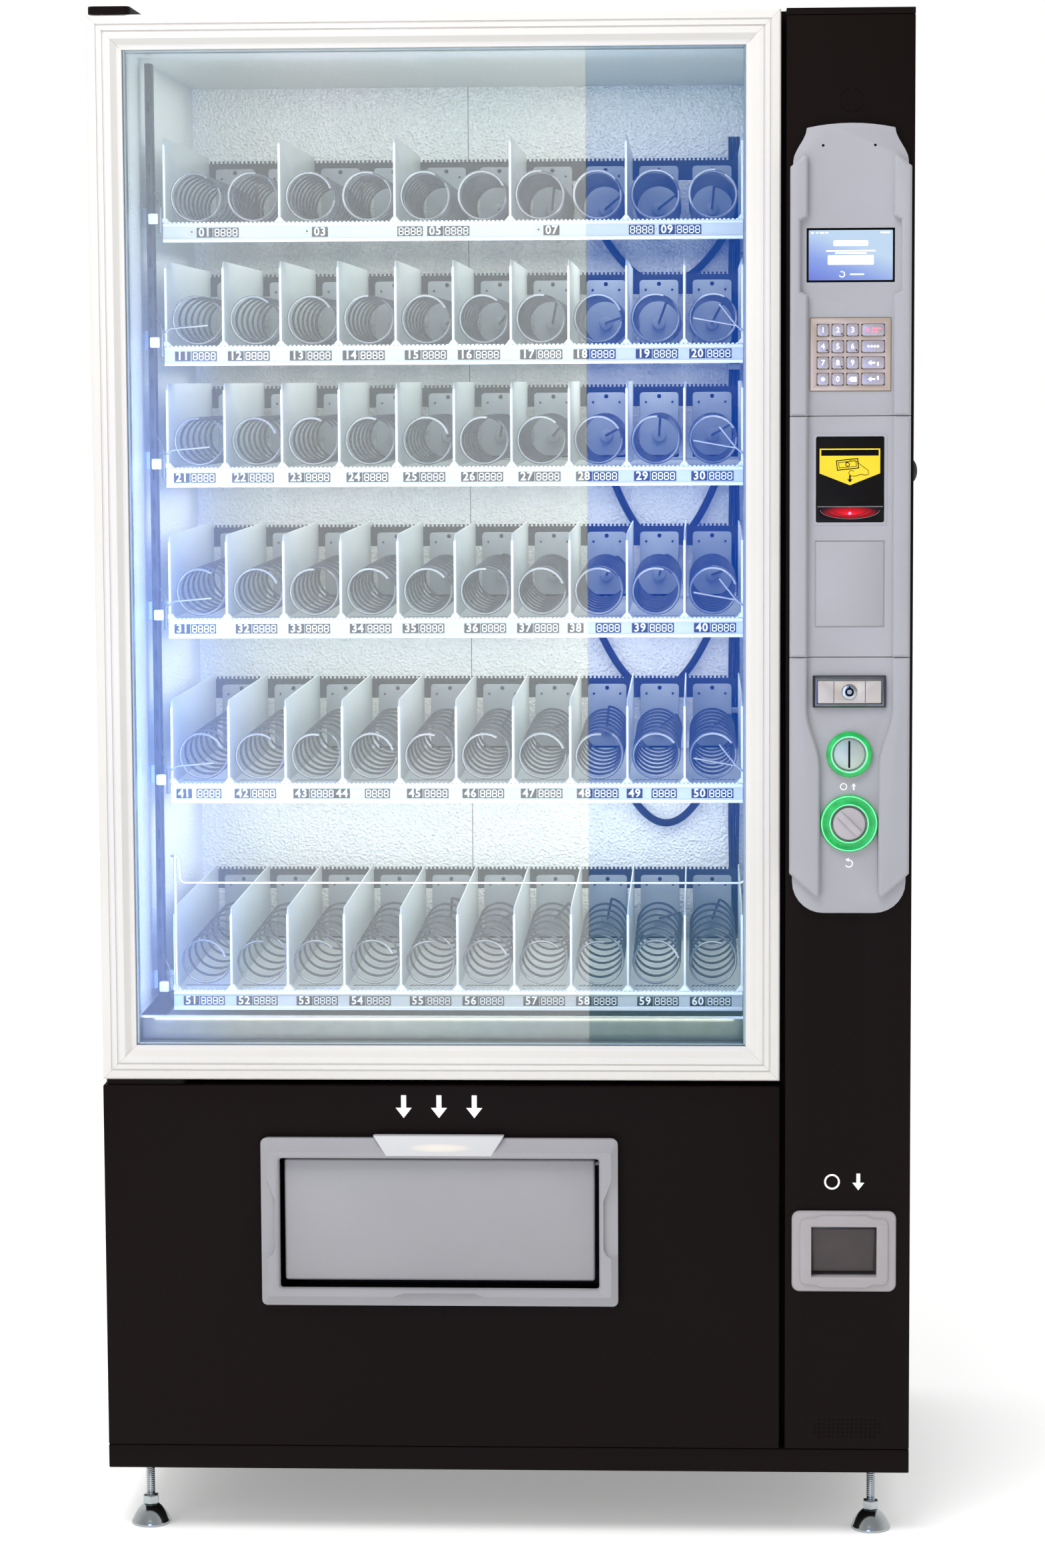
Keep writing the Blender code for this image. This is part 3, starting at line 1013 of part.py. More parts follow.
def coin_flap_axis():
    return Y_FACE + COIN_FLAP_SETBACK, CUP_Z + CUP_OPEN_H / 2 - COIN_FLAP_AXIS_DROP


def coin_return(hinge):
    """Coin cup behind a framed opening, closed by a hanging flap."""
    x = COLUMN_X + CUP_OFFSET_X
    y_front = Y_FACE - CUP_PROUD
    plate = prism(rounded((x, CUP_Z), (CUP_W, CUP_H), CUP_ROUND), "y", (y_front, Y_FACE - SEAT),
                  chamfer=2 * MM)
    ear, ear_half = CUP_RIM_EAR, CUP_RIM_EAR_HALF
    quarter = [(CUP_RIM_W / 2 - 8 * MM, CUP_RIM_H / 2), (ear_half + 2 * ear, CUP_RIM_H / 2),
               (ear_half, CUP_RIM_H / 2 + ear)]
    corner = [(CUP_RIM_W / 2, CUP_RIM_H / 2 - 8 * MM), (CUP_RIM_W / 2 - 2.3 * MM, CUP_RIM_H / 2 - 2.3 * MM)]
    upper = corner + quarter
    right = [(a, -b) for a, b in reversed(upper)] + upper
    rim_outline = [(x + a, CUP_Z + b) for a, b in right] + [(x - a, CUP_Z + b) for a, b in reversed(right)]
    rim = prism(rim_outline, "y", (y_front - CUP_RIM_PROUD, y_front + CUP_PROUD / 2), chamfer=1.5 * MM)
    half_w, half_h = CUP_OPEN_W / 2, CUP_OPEN_H / 2
    cup = block((x - half_w - CUP_WALL, x + half_w + CUP_WALL), (y_front + CUP_PROUD / 2, Y_FACE + CUP_DEPTH),
                (CUP_Z - half_h - CUP_WALL, CUP_Z + half_h + CUP_WALL))
    y_back = Y_FACE + CUP_DEPTH - CUP_WALL
    hollow = prism([(Y_FRONT - WALL, CUP_Z - half_h), (Y_FACE + CUP_DEPTH / 3, CUP_Z - half_h),
                    (y_back, CUP_Z - half_h + CUP_DEPTH / 5), (y_back, CUP_Z + half_h),
                    (Y_FRONT - WALL, CUP_Z + half_h)], "x", (x - half_w, x + half_w))
    pin_half = half_w + CUP_WALL / 2
    y_axis, z_axis = coin_flap_axis()
    pin_r = 1.5 * MM
    bore = rod("x", (y_axis, z_axis), pin_r + RUN, (x - pin_half - SEAT, x + pin_half + SEAT), 12)
    part("coin_cup", plate, grey_abs, hinge, joins=[rim, cup], cuts=[hollow, bore])
    swing = carrier("coin_flap_hinge", (x, y_axis, z_axis), hinge)
    top = z_axis + pin_r + 1 * MM
    leaf = block((x - half_w + COIN_FLAP_GAP, x + half_w - COIN_FLAP_GAP),
                 (y_axis - COIN_FLAP_THICK / 2, y_axis + COIN_FLAP_THICK / 2), (top - COIN_FLAP_H, top))
    pins = rod("x", (y_axis, z_axis), pin_r, (x - pin_half, x + pin_half), 12)
    part("coin_flap", leaf, smoke, swing, joins=[pins])


def cooling_unit():
    """Compressor and condenser on a tray, standing behind the delivery bin."""
    floor = Z_BASE + CABINET_FLOOR + SEAT
    x_middle = (CHAMBER_LEFT + CHAMBER_RIGHT) / 2
    y_back = Y_CHAMBER_BACK - 20 * MM
    width, depth, sheet = COOLER_SIZE
    base = block((x_middle - width / 2, x_middle + width / 2), (y_back - depth, y_back),
                 (floor, floor + sheet))
    dome_x, dome_y = x_middle - width / 4, y_back - depth * 0.6
    dome = rod("z", (dome_x, dome_y), COMPRESSOR_R, (floor + sheet / 2, floor + COMPRESSOR_H), 20)
    rim = [edge for edge in dome.edges if all(vert.co.z > floor + COMPRESSOR_H / 2 for vert in edge.verts)]
    bmesh.ops.bevel(dome, geom=rim, offset=COMPRESSOR_R * 0.45, segments=3, profile=0.5, affect="EDGES")
    coil_w, coil_d, coil_h = CONDENSER
    coil = block((x_middle - coil_w / 2, x_middle + coil_w / 2), (y_back - coil_d, y_back - 2 * MM),
                 (floor + sheet / 2, floor + coil_h))
    part("cooling_unit", base, galvanised, joins=[dome, coil])


def control_column():
    hinge = carrier("control_door_hinge", (HALF - PIVOT_INSET, Y_PIVOT, Z_COLUMN_BOTTOM))
    for make in (control_door, bezel_upper, bezel_middle, bezel_lower, display, keypad, bill_validator, lock,
                 return_knob, coin_return):
        make(hinge)


def build():
    cabinet_body()
    plinth()
    feet()
    hinge_plate_top()
    lower_panel()
    pickup_frame()
    pickup_flap()
    delivery_bin()
    cooling_unit()
    for index in range(len(TRAY_UNDERSIDES)):
        tray(index)
    spirals()
    glass_door()
    control_column()


build()
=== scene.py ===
import math

import bmesh
import bpy
from mathutils import Matrix, Vector


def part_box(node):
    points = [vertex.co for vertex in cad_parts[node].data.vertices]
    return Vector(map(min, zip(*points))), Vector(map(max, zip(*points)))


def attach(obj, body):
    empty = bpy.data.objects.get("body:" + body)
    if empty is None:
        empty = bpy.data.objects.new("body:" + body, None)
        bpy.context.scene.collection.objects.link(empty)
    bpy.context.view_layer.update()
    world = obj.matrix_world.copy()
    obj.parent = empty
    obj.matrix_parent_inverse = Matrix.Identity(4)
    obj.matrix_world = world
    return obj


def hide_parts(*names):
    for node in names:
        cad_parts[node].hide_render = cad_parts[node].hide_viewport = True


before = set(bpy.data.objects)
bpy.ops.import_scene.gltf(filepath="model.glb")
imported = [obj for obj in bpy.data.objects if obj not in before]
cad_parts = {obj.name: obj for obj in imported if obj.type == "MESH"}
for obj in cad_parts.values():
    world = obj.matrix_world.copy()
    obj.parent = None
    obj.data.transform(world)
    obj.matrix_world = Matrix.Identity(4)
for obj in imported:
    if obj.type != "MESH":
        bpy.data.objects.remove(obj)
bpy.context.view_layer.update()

mm = 0.001


def linear(hexCode):
    values = [int(hexCode[at:at + 2], 16) / 255 for at in (1, 3, 5)]
    return (*[v / 12.92 if v <= 0.04045 else ((v + 0.055) / 1.055) ** 2.4 for v in values], 1.0)


def addNode(material, kind, inputs, **settings):
    node = material.node_tree.nodes.new(kind)
    for key, value in settings.items():
        setattr(node, key, value)
    for key, value in inputs.items():
        if isinstance(value, bpy.types.NodeSocket):
            material.node_tree.links.new(value, node.inputs[key])
        else:
            node.inputs[key].default_value = value
    return node


def startFinish(name, sockets):
    material = bpy.data.materials.new(name)
    material.use_nodes = True
    shader = material.node_tree.nodes["Principled BSDF"]
    for key, value in sockets.items():
        shader.inputs[key].default_value = value
    place = addNode(material, "ShaderNodeTexCoord", {}).outputs["Object"]
    return material, shader, place


# colour drifts between two tones, and a fine grain breaks up the gloss and the surface
def finish(name, tones, sockets, driftMm, grainMm, bumpMm, roughSpread=0.06, stretch=(1, 1, 1)):
    material, shader, place = startFinish(name, sockets)
    link = material.node_tree.links.new
    drift = addNode(material, "ShaderNodeTexNoise", {"Vector": place, "Scale": 1 / (driftMm * mm), "Detail": 4.0})
    tone = addNode(material, "ShaderNodeMix", {0: drift.outputs[0], 6: linear(tones[0]), 7: linear(tones[1])}, data_type="RGBA")
    link(tone.outputs[2], shader.inputs["Base Color"])
    drawn = addNode(material, "ShaderNodeMapping", {"Vector": place, "Scale": stretch})
    grain = addNode(material, "ShaderNodeTexNoise", {"Vector": drawn.outputs[0], "Scale": 1 / (grainMm * mm), "Detail": 3.0})
    rough = sockets.get("Roughness", 0.5)
    gloss = addNode(material, "ShaderNodeMapRange", {0: grain.outputs[0], 3: rough - roughSpread, 4: rough + roughSpread})
    link(gloss.outputs[0], shader.inputs["Roughness"])
    bump = addNode(material, "ShaderNodeBump", {"Height": grain.outputs[0], "Distance": bumpMm * mm, "Strength": 0.6})
    link(bump.outputs[0], shader.inputs["Normal"])
    return material


# a lit surface, brighter where its light source sits close behind it
def glowing(name, tones, strength, driftMm):
    material, shader, place = startFinish(name, {"Roughness": 0.25, "Emission Strength": strength})
    link = material.node_tree.links.new
    drift = addNode(material, "ShaderNodeTexNoise", {"Vector": place, "Scale": 1 / (driftMm * mm), "Detail": 2.0})
    tone = addNode(material, "ShaderNodeMix", {0: drift.outputs[0], 6: linear(tones[0]), 7: linear(tones[1])}, data_type="RGBA")
    link(tone.outputs[2], shader.inputs["Base Color"])
    link(tone.outputs[2], shader.inputs["Emission Color"])
    return material


# rolled stucco aluminium: pebbled embossing that sparkles in the cabinet light
def stuccoSheet():
    material, shader, place = startFinish("stuccoAluminium", {"Metallic": 0.3, "Roughness": 0.32})
    link = material.node_tree.links.new
    warp = addNode(material, "ShaderNodeTexNoise", {"Vector": place, "Scale": 1 / (4 * mm), "Detail": 3.0})
    pebble = addNode(material, "ShaderNodeTexVoronoi", {"Vector": place, "Scale": 1 / (3.2 * mm)}, feature="SMOOTH_F1")
    height = addNode(material, "ShaderNodeMath", {0: pebble.outputs["Distance"], 1: warp.outputs[0]}, operation="ADD")
    bump = addNode(material, "ShaderNodeBump", {"Height": height.outputs[0], "Distance": 1.4 * mm, "Strength": 1.0})
    link(bump.outputs[0], shader.inputs["Normal"])
    tone = addNode(material, "ShaderNodeMix", {0: warp.outputs[0], 6: linear("#d4dadc"), 7: linear("#f4f7f7")}, data_type="RGBA")
    link(tone.outputs[2], shader.inputs["Base Color"])
    return material


# float glass: clear with a faint green cast and a soft haze
def floatGlass():
    material, shader, place = startFinish("floatGlass", {"Transmission Weight": 1.0, "IOR": 1.42, "Roughness": 0.0})
    link = material.node_tree.links.new
    haze = addNode(material, "ShaderNodeTexNoise", {"Vector": place, "Scale": 1 / (180 * mm), "Detail": 2.0})
    tone = addNode(material, "ShaderNodeMix", {0: haze.outputs[0], 6: linear("#f2fbfa"), 7: linear("#ffffff")}, data_type="RGBA")
    link(tone.outputs[2], shader.inputs["Base Color"])
    return material


# backlit screen: pale blue at the top right, deeper violet blue at the lower left
def screenPicture(low, high):
    material, shader, place = startFinish("backlitScreen", {"Roughness": 0.15, "Emission Strength": 0.95, "Base Color": linear("#0c0e18")})
    link = material.node_tree.links.new
    parts = addNode(material, "ShaderNodeSeparateXYZ", {0: place})
    rise = addNode(material, "ShaderNodeMapRange", {0: parts.outputs["Z"], 1: low.z, 2: high.z})
    across = addNode(material, "ShaderNodeMapRange", {0: parts.outputs["X"], 1: low.x, 2: high.x, 4: 0.6})
    both = addNode(material, "ShaderNodeMath", {0: rise.outputs[0], 1: across.outputs[0]}, operation="ADD")
    ramp = addNode(material, "ShaderNodeValToRGB", {0: both.outputs[0]})
    stops = ramp.color_ramp.elements
    stops[0].color, stops[1].color = linear("#6a78d8"), linear("#c4dcf4")
    stops.new(0.5).color = linear("#8ea6ea")
    link(ramp.outputs[0], shader.inputs["Emission Color"])
    return material


# a surface lit from behind at one point: the glow runs out through the given tones
def spotLit(name, base, stops, strength, center, reach):
    material, shader, place = startFinish(name, {"Roughness": 0.3, "Specular IOR Level": 0.2, "Base Color": linear(base), "Emission Strength": strength})
    shift = [-at / size for at, size in zip(center, reach)]
    near = addNode(material, "ShaderNodeMapping", {"Vector": place, "Location": shift, "Scale": [1 / size for size in reach]})
    far = addNode(material, "ShaderNodeVectorMath", {0: near.outputs[0]}, operation="LENGTH")
    ramp = addNode(material, "ShaderNodeValToRGB", {0: far.outputs["Value"]})
    marks = ramp.color_ramp.elements
    marks[0].color, marks[1].color = linear(stops[0][1]), linear(stops[-1][1])
    for at, tone in stops[1:-1]:
        marks.new(at).color = linear(tone)
    material.node_tree.links.new(ramp.outputs[0], shader.inputs["Emission Color"])
    return material


# each finish with the record slot that it belongs to
coats = {
    # powder-coated sheet steel: warm black, eggshell, with a faint orange peel
    "black": (finish("blackPowderCoat", ("#0d0706", "#130b09"), {"Roughness": 0.55, "Specular IOR Level": 0.08}, 260, 2.2, 0.12), "black_paint"),
    # white satin aluminium profile
    "profile": (finish("whiteAluminium", ("#c8c5c2", "#d5d3d0"), {"Roughness": 0.34, "Coat Weight": 0.15}, 300, 1.5, 0.03), "white_profile"),
    "liner": (stuccoSheet(), "galvanised"),
    "glass": (floatGlass(), "clear_glass"),
    # anodised spacer bar between the panes
    "spacer": (finish("anodisedSpacer", ("#b9c4c2", "#cfd8d6"), {"Metallic": 0.7, "Roughness": 0.35}, 60, 2.0, 0.02), "galvanised"),
    # white enamelled tray sheet
    "enamel": (finish("whiteEnamel", ("#a9b1b6", "#bfc6ca"), {"Roughness": 0.38}, 90, 2.0, 0.03), "white_enamel"),
    # milky polypropylene dividers, softly translucent
    "divider": (finish("milkyPolypropylene", ("#bcc6cc", "#d0d9de"), {"Roughness": 0.35, "Transmission Weight": 0.35}, 120, 3.0, 0.04), "white_enamel"),
    # bright white mouldings on rails and divider feet
    "white": (finish("whiteAbs", ("#d2d9dd", "#e2e8eb"), {"Roughness": 0.4}, 40, 2.0, 0.02), "white_enamel"),
    # drawn spring wire, mid grey with bright glints
    "wire": (finish("springSteelWire", ("#4a4b54", "#74767f"), {"Metallic": 0.9, "Roughness": 0.22}, 25, 3.0, 0.02), "spring_steel"),
    # a lighter tone of the same wire, a painted highlight for the front turn of each coil that the lamps by the door
    # light up; the end wires take it too
    "frontWire": (finish("paintedHighlightSpringWire", ("#7f828a", "#a4a7ae"), {"Metallic": 0.85, "Roughness": 0.24}, 25, 3.0, 0.02), "spring_steel"),
    "brightWire": (finish("brightZincWire", ("#c9cdd0", "#eceff0"), {"Metallic": 0.8, "Roughness": 0.22}, 25, 3.0, 0.02), "chrome_steel"),
    # moulded grey ABS with a fine spark-eroded grain
    "grey": (finish("greyAbs", ("#94949b", "#a0a0a7"), {"Roughness": 0.45}, 160, 1.6, 0.05), "grey_abs"),
    "flapGrey": (finish("satinGreyAbs", ("#8d8c91", "#99989d"), {"Roughness": 0.42}, 160, 1.6, 0.05), "grey_abs"),
    "paleGrey": (finish("paleGreyAbs", ("#938e91", "#a5a1a4"), {"Roughness": 0.48}, 90, 1.6, 0.05), "grey_abs"),
    "mauveGrey": (finish("mauveGreyNylon", ("#9c969c", "#b0abb1"), {"Roughness": 0.45}, 40, 1.6, 0.04), "grey_abs"),
    "blackPlastic": (finish("blackAbs", ("#080607", "#100d0d"), {"Roughness": 0.34, "Specular IOR Level": 0.14}, 60, 1.5, 0.03), "black_abs"),
    "brownPlastic": (finish("smokedBrownAbs", ("#1f1210", "#2e1c18"), {"Roughness": 0.22}, 40, 1.5, 0.03), "black_abs"),
    "rubber": (finish("doorSealRubber", ("#121213", "#1d1d1e"), {"Roughness": 0.75}, 60, 2.0, 0.08), "black_rubber"),
    "cable": (finish("cableJacket", ("#0f1014", "#191b22"), {"Roughness": 0.5}, 30, 2.0, 0.03), "black_rubber"),
    # warm satin keypad steel
    "keypad": (finish("bronzeSatinSteel", ("#ab9a8d", "#c3b4a8"), {"Metallic": 0.45, "Roughness": 0.32}, 45, 1.2, 0.02, stretch=(0.1, 1, 1)), "keypad_steel"),
    "keyMetal": (finish("satinKeySteel", ("#9d979c", "#b9b4bf"), {"Metallic": 0.5, "Roughness": 0.28}, 20, 1.2, 0.02), "keypad_steel"),
    # satin nickel and bright chrome
    # the coin plate is satin nickel with a painted green reflection of the lit rings mixed into its tone
    "coinMetal": (finish("nickelPaintedGreenReflection", ("#8fae9f", "#c3c4c2"), {"Metallic": 0.6, "Roughness": 0.35}, 22, 1.0, 0.03), "chrome_steel"),
    "nickel": (finish("satinNickel", ("#aca59e", "#c8c1ba"), {"Metallic": 0.5, "Roughness": 0.42}, 30, 1.0, 0.03, stretch=(0.08, 1, 1)), "chrome_steel"),
    "chrome": (finish("brightChrome", ("#8f9698", "#c3c9cb"), {"Metallic": 1.0, "Roughness": 0.14}, 35, 2.5, 0.02, 0.04), "chrome_steel"),
    "darkChrome": (finish("darkChrome", ("#57595c", "#86898c"), {"Metallic": 1.0, "Roughness": 0.18}, 35, 2.5, 0.02, 0.04), "chrome_steel"),
    # galvanised sheet with soft spangle
    "galvanised": (finish("galvanisedSheet", ("#b9b8a6", "#d8d7c6"), {"Metallic": 0.4, "Roughness": 0.4}, 18, 2.5, 0.03), "galvanised"),
    "darkSteel": (finish("phosphatedSteel", ("#2a2b2d", "#3b3c3f"), {"Metallic": 0.5, "Roughness": 0.5}, 60, 2.0, 0.03), "galvanised"),
    # smoked polycarbonate
    "smoke": (finish("smokedPolycarbonate", ("#261d1e", "#3a2f30"), {"Roughness": 0.2}, 40, 3.0, 0.02), "smoked_flap"),
    # painted shade: dark marks that stand in for the unlit hollows behind slots, holes and gaps; also used for dark
    # print and lines
    "dark": (finish("unlitRecess", ("#060505", "#0c0a0a"), {"Roughness": 0.8, "Specular IOR Level": 0.1}, 30, 2.0, 0.02), "black_paint"),
    # zinc-plated motor plates
    "plate": (finish("zincPlate", ("#7b838b", "#949ba2"), {"Metallic": 0.3, "Roughness": 0.42}, 40, 2.0, 0.03), "galvanised"),
    # printed films and inks
    "labelInk": (finish("slateLabelFilm", ("#07090d", "#0d1017"), {"Roughness": 0.45}, 30, 1.0, 0.01), "black_abs"),
    "yellow": (finish("yellowLabelFilm", ("#d3b900", "#e9d000"), {"Roughness": 0.42}, 30, 1.0, 0.01), "black_abs"),
    "print": (finish("whiteInk", ("#eef1f3", "#fbfcfd"), {"Roughness": 0.5}, 30, 1.0, 0.01), "white_enamel"),
    # lit parts
    "leds": (glowing("coolLedStrip", ("#c9d6ff", "#ffffff"), 2.0, 9), "clear_glass"),
    "greenLens": (glowing("greenLitLens", ("#02702c", "#1cb558"), 0.32, 12), "clear_glass"),
    # painted glints: glowing beads along the ring rims stand in for highlights
    "greenEdge": (glowing("paintedGreenGlint", ("#12d45c", "#96ffc4"), 0.75, 8), "clear_glass"),
    "legend": (glowing("blueWhiteLegend", ("#c3ceff", "#f3f5ff"), 1.0, 6), "display_glass"),
    "redLegend": (glowing("redLegend", ("#ff3d52", "#ff8a96"), 1.0, 6), "display_glass"),
    "spot": (glowing("magentaSpot", ("#ff6fae", "#ffb4d8"), 0.9, 4), "display_glass"),
}
print("finishes ready:", len(coats))


def addPiece(name, bm, body, coat, node=None, smooth=35):
    mesh = bpy.data.meshes.new(name)
    bm.to_mesh(mesh)
    bm.free()
    names = [coat] if isinstance(coat, str) else coat
    for each in names:
        mesh.materials.append(coats[each][0])
    mesh.shade_smooth()
    mesh.set_sharp_from_angle(angle=math.radians(smooth))
    piece = bpy.data.objects.new(name, mesh)
    bpy.context.scene.collection.objects.link(piece)
    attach(piece, body)
    if node:
        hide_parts(node)
    return piece


def asMesh(local):
    mesh = bpy.data.meshes.new("shape")
    local.to_mesh(mesh)
    local.free()
    return mesh


# joins a finished shape to a piece, giving its faces one finish
def merge(bm, local, coat=0):
    for face in local.faces:
        face.material_index = coat
    mesh = asMesh(local)
    bm.from_mesh(mesh)
    bpy.data.meshes.remove(mesh)


# repeats a shape at many places
def stamp(bm, shape, places):
    for place in places:
        copy = shape.copy()
        copy.transform(place if isinstance(place, Matrix) else Matrix.Translation(place))
        bm.from_mesh(copy)
        bpy.data.meshes.remove(copy)


def addBox(bm, low, high, edge=0.0, segments=2, coat=0):
    local = bmesh.new()
    middle, size = (Vector(low) + Vector(high)) / 2, Vector(high) - Vector(low)
    bmesh.ops.create_cube(local, size=1.0, matrix=Matrix.Translation(middle) @ Matrix.Diagonal((*size, 1.0)))
    if edge:
        bmesh.ops.bevel(local, geom=local.edges[:], offset=edge, segments=segments, profile=0.5, affect="EDGES", material=-1)
    merge(bm, local, coat)


def addRod(bm, axis, center, radius, span, segments=32, edge=0.0, coat=0):
    local = bmesh.new()
    turn = {"x": Matrix.Rotation(math.pi / 2, 4, "Y"), "y": Matrix.Rotation(-math.pi / 2, 4, "X"), "z": Matrix.Identity(4)}[axis]
    middle = (span[0] + span[1]) / 2
    place = {"x": (middle, *center), "y": (center[0], middle, center[1]), "z": (*center, middle)}[axis]
    bmesh.ops.create_cone(local, cap_ends=True, segments=segments, radius1=radius, radius2=radius, depth=abs(span[1] - span[0]),
                          matrix=Matrix.Translation(place) @ turn)
    if edge:
        rims = [line for line in local.edges if any(len(face.verts) > 4 for face in line.link_faces)]
        bmesh.ops.bevel(local, geom=rims, offset=edge, segments=2, profile=0.5, affect="EDGES", material=-1)
    merge(bm, local, coat)


# pushes a flat outline along Y, from its front to its back, and softens its front rim
def addPlate(bm, outline, span, edge=0.0, segments=2, coat=0):
    local = bmesh.new()
    front = local.faces.new([local.verts.new((x, span[0], z)) for x, z in outline])
    rim = list(front.edges)
    pushed = bmesh.ops.extrude_face_region(local, geom=[front])["geom"]
    bmesh.ops.translate(local, verts=[v for v in pushed if isinstance(v, bmesh.types.BMVert)], vec=(0, span[1] - span[0], 0))
    bmesh.ops.recalc_face_normals(local, faces=local.faces)
    if edge:
        rim = [line for line in local.edges if all(abs(v.co.y - span[0]) < 1e-7 for v in line.verts)]
        bmesh.ops.bevel(local, geom=rim, offset=edge, segments=segments, profile=0.5, affect="EDGES", material=-1)
    merge(bm, local, coat)


def roundedOutline(center, size, radius, steps=6):
    points = []
    for quarter, sign in enumerate(((1, 1), (-1, 1), (-1, -1), (1, -1))):
        for step in range(steps + 1):
            angle = math.pi / 2 * (quarter + step / steps)
            points.append(tuple(center[i] + sign[i] * (size[i] / 2 - radius) + radius * (math.cos(angle), math.sin(angle))[i] for i in (0, 1)))
    return points


# turns a profile of (radius, distance along the axis) round +Z, +X, or -Y for shapes on the front
def addTurned(bm, axis, center, profile, steps=48, closed=False, coat=0):
    local = bmesh.new()
    verts = [local.verts.new((radius, 0, along)) for radius, along in profile]
    lines = [local.edges.new(pair) for pair in zip(verts, verts[1:] + verts[:1] if closed else verts[1:])]
    bmesh.ops.spin(local, geom=verts + lines, axis=(0, 0, 1), cent=(0, 0, 0), angle=2 * math.pi, steps=steps, use_merge=True)
    bmesh.ops.remove_doubles(local, verts=local.verts, dist=1e-6)
    turn = {"x": Matrix.Rotation(math.pi / 2, 4, "Y"), "y": Matrix.Rotation(math.pi / 2, 4, "X"), "z": Matrix.Identity(4)}[axis]
    bmesh.ops.transform(local, matrix=Matrix.Translation(center) @ turn, verts=local.verts)
    bmesh.ops.recalc_face_normals(local, faces=local.faces)
    merge(bm, local, coat)


# the mesh that a curve sweeps or fills
def curveShape(curve):
    holder = bpy.data.objects.new("curve", curve)
    bpy.context.scene.collection.objects.link(holder)
    shape = bpy.data.meshes.new_from_object(holder.evaluated_get(bpy.context.evaluated_depsgraph_get()))
    bpy.data.objects.remove(holder)
    bpy.data.curves.remove(curve)
    shape.materials.clear()
    return shape


# a round wire along points, with flat ends
def addTube(bm, points, radius, sides=10, coat=0):
    curve = bpy.data.curves.new("wire", "CURVE")
    curve.dimensions, curve.bevel_depth, curve.bevel_resolution, curve.use_fill_caps = "3D", radius, (sides - 4) // 2, True
    spline = curve.splines.new("POLY")
    spline.points.add(len(points) - 1)
    for spot, point in zip(spline.points, points):
        spot.co = (*point, 1)
    shape, local = curveShape(curve), bmesh.new()
    local.from_mesh(shape)
    bpy.data.meshes.remove(shape)
    bmesh.ops.remove_doubles(local, verts=local.verts, dist=1e-6)
    bmesh.ops.recalc_face_normals(local, faces=local.faces)
    merge(bm, local, coat)


def addRing(bm, center, radius, width, y, depth=0.25):
    addTurned(bm, "y", (center[0], y, center[1]), [(radius - width / 2, 0.05 * mm), (radius + width / 2, 0.05 * mm),
                                                   (radius + width / 2, depth * mm), (radius - width / 2, depth * mm)], 32, True)


# a closed band through rings of points that match one to one, the last ring joined back to the first
def addBand(bm, rings, coat=0):
    local = bmesh.new()
    loops = [[local.verts.new(point) for point in ring] for ring in rings]
    for one, other in zip(loops, loops[1:] + loops[:1]):
        for a, b, c, d in zip(one, one[1:] + one[:1], other[1:] + other[:1], other):
            local.faces.new((a, b, c, d))
    bmesh.ops.recalc_face_normals(local, faces=local.faces)
    merge(bm, local, coat)


# a copy of a CAD solid whose sharp edges are rounded
def softened(node, body, coat, edgeMm, segments=2, angle=25):
    bm = bmesh.new()
    bm.from_mesh(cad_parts[node].data)
    bmesh.ops.remove_doubles(bm, verts=bm.verts, dist=1e-6)
    bmesh.ops.dissolve_limit(bm, angle_limit=math.radians(1), verts=bm.verts, edges=bm.edges)
    sharp = [line for line in bm.edges if len(line.link_faces) == 2 and line.calc_face_angle() > math.radians(angle)]
    bmesh.ops.bevel(bm, geom=sharp, offset=edgeMm * mm, segments=segments, profile=0.5, affect="EDGES", material=-1)
    for face in bm.faces:
        face.material_index = 0
    return addPiece(node + "_finished", bm, body, coat, node)


# a character as a solid one unit high, standing on a face that looks to -Y
def glyphShape(character):
    curve = bpy.data.curves.new("glyph", "FONT")
    curve.body, curve.size, curve.align_x, curve.align_y = character, 1 / 0.72, "CENTER", "CENTER"
    curve.extrude, curve.offset, curve.resolution_u = 0.012, 0.022, 2
    shape = curveShape(curve)
    shape.transform(Matrix.Rotation(math.pi / 2, 4, "X"))
    return shape


def addText(bm, words, center, height, pitch=0.62):
    for at, character in enumerate(words):
        x = center[0] + (at - (len(words) - 1) / 2) * pitch * height
        stamp(bm, glyphs[character], [Matrix.Translation((x, center[1], center[2])) @ Matrix.Scale(height, 4)])


def boxOf(node):
    low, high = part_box(node)
    return Vector(low), Vector(high)


glyphs = {character: glyphShape(character) for character in "0123456789*"}
print("helpers ready")

# base, feet and outer sheet metal
sheetMetal = {"edge": 1.4, "panelEdge": 1.6}


def paint(node, coat):
    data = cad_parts[node].data
    data.materials.clear()
    data.materials.append(coats[coat][0])


paint("cabinet_body", "black")
# the delivery bin is dark steel; its darkness is also painted shade seen through the gap round the flap
paint("delivery_bin", "darkSteel")
paint("cooling_unit", "darkSteel")
softened("plinth", "cabinet", "black", sheetMetal["edge"])
softened("lower_panel", "cabinet", "black", sheetMetal["panelEdge"])
softened("hinge_plate_top", "cabinet", "black", 1.2)

foot = {"pad": 26, "padEdge": 5, "bell": 22, "stem": 6, "nut": 11, "nutHeight": 12, "threads": 24, "thread": 0.5}


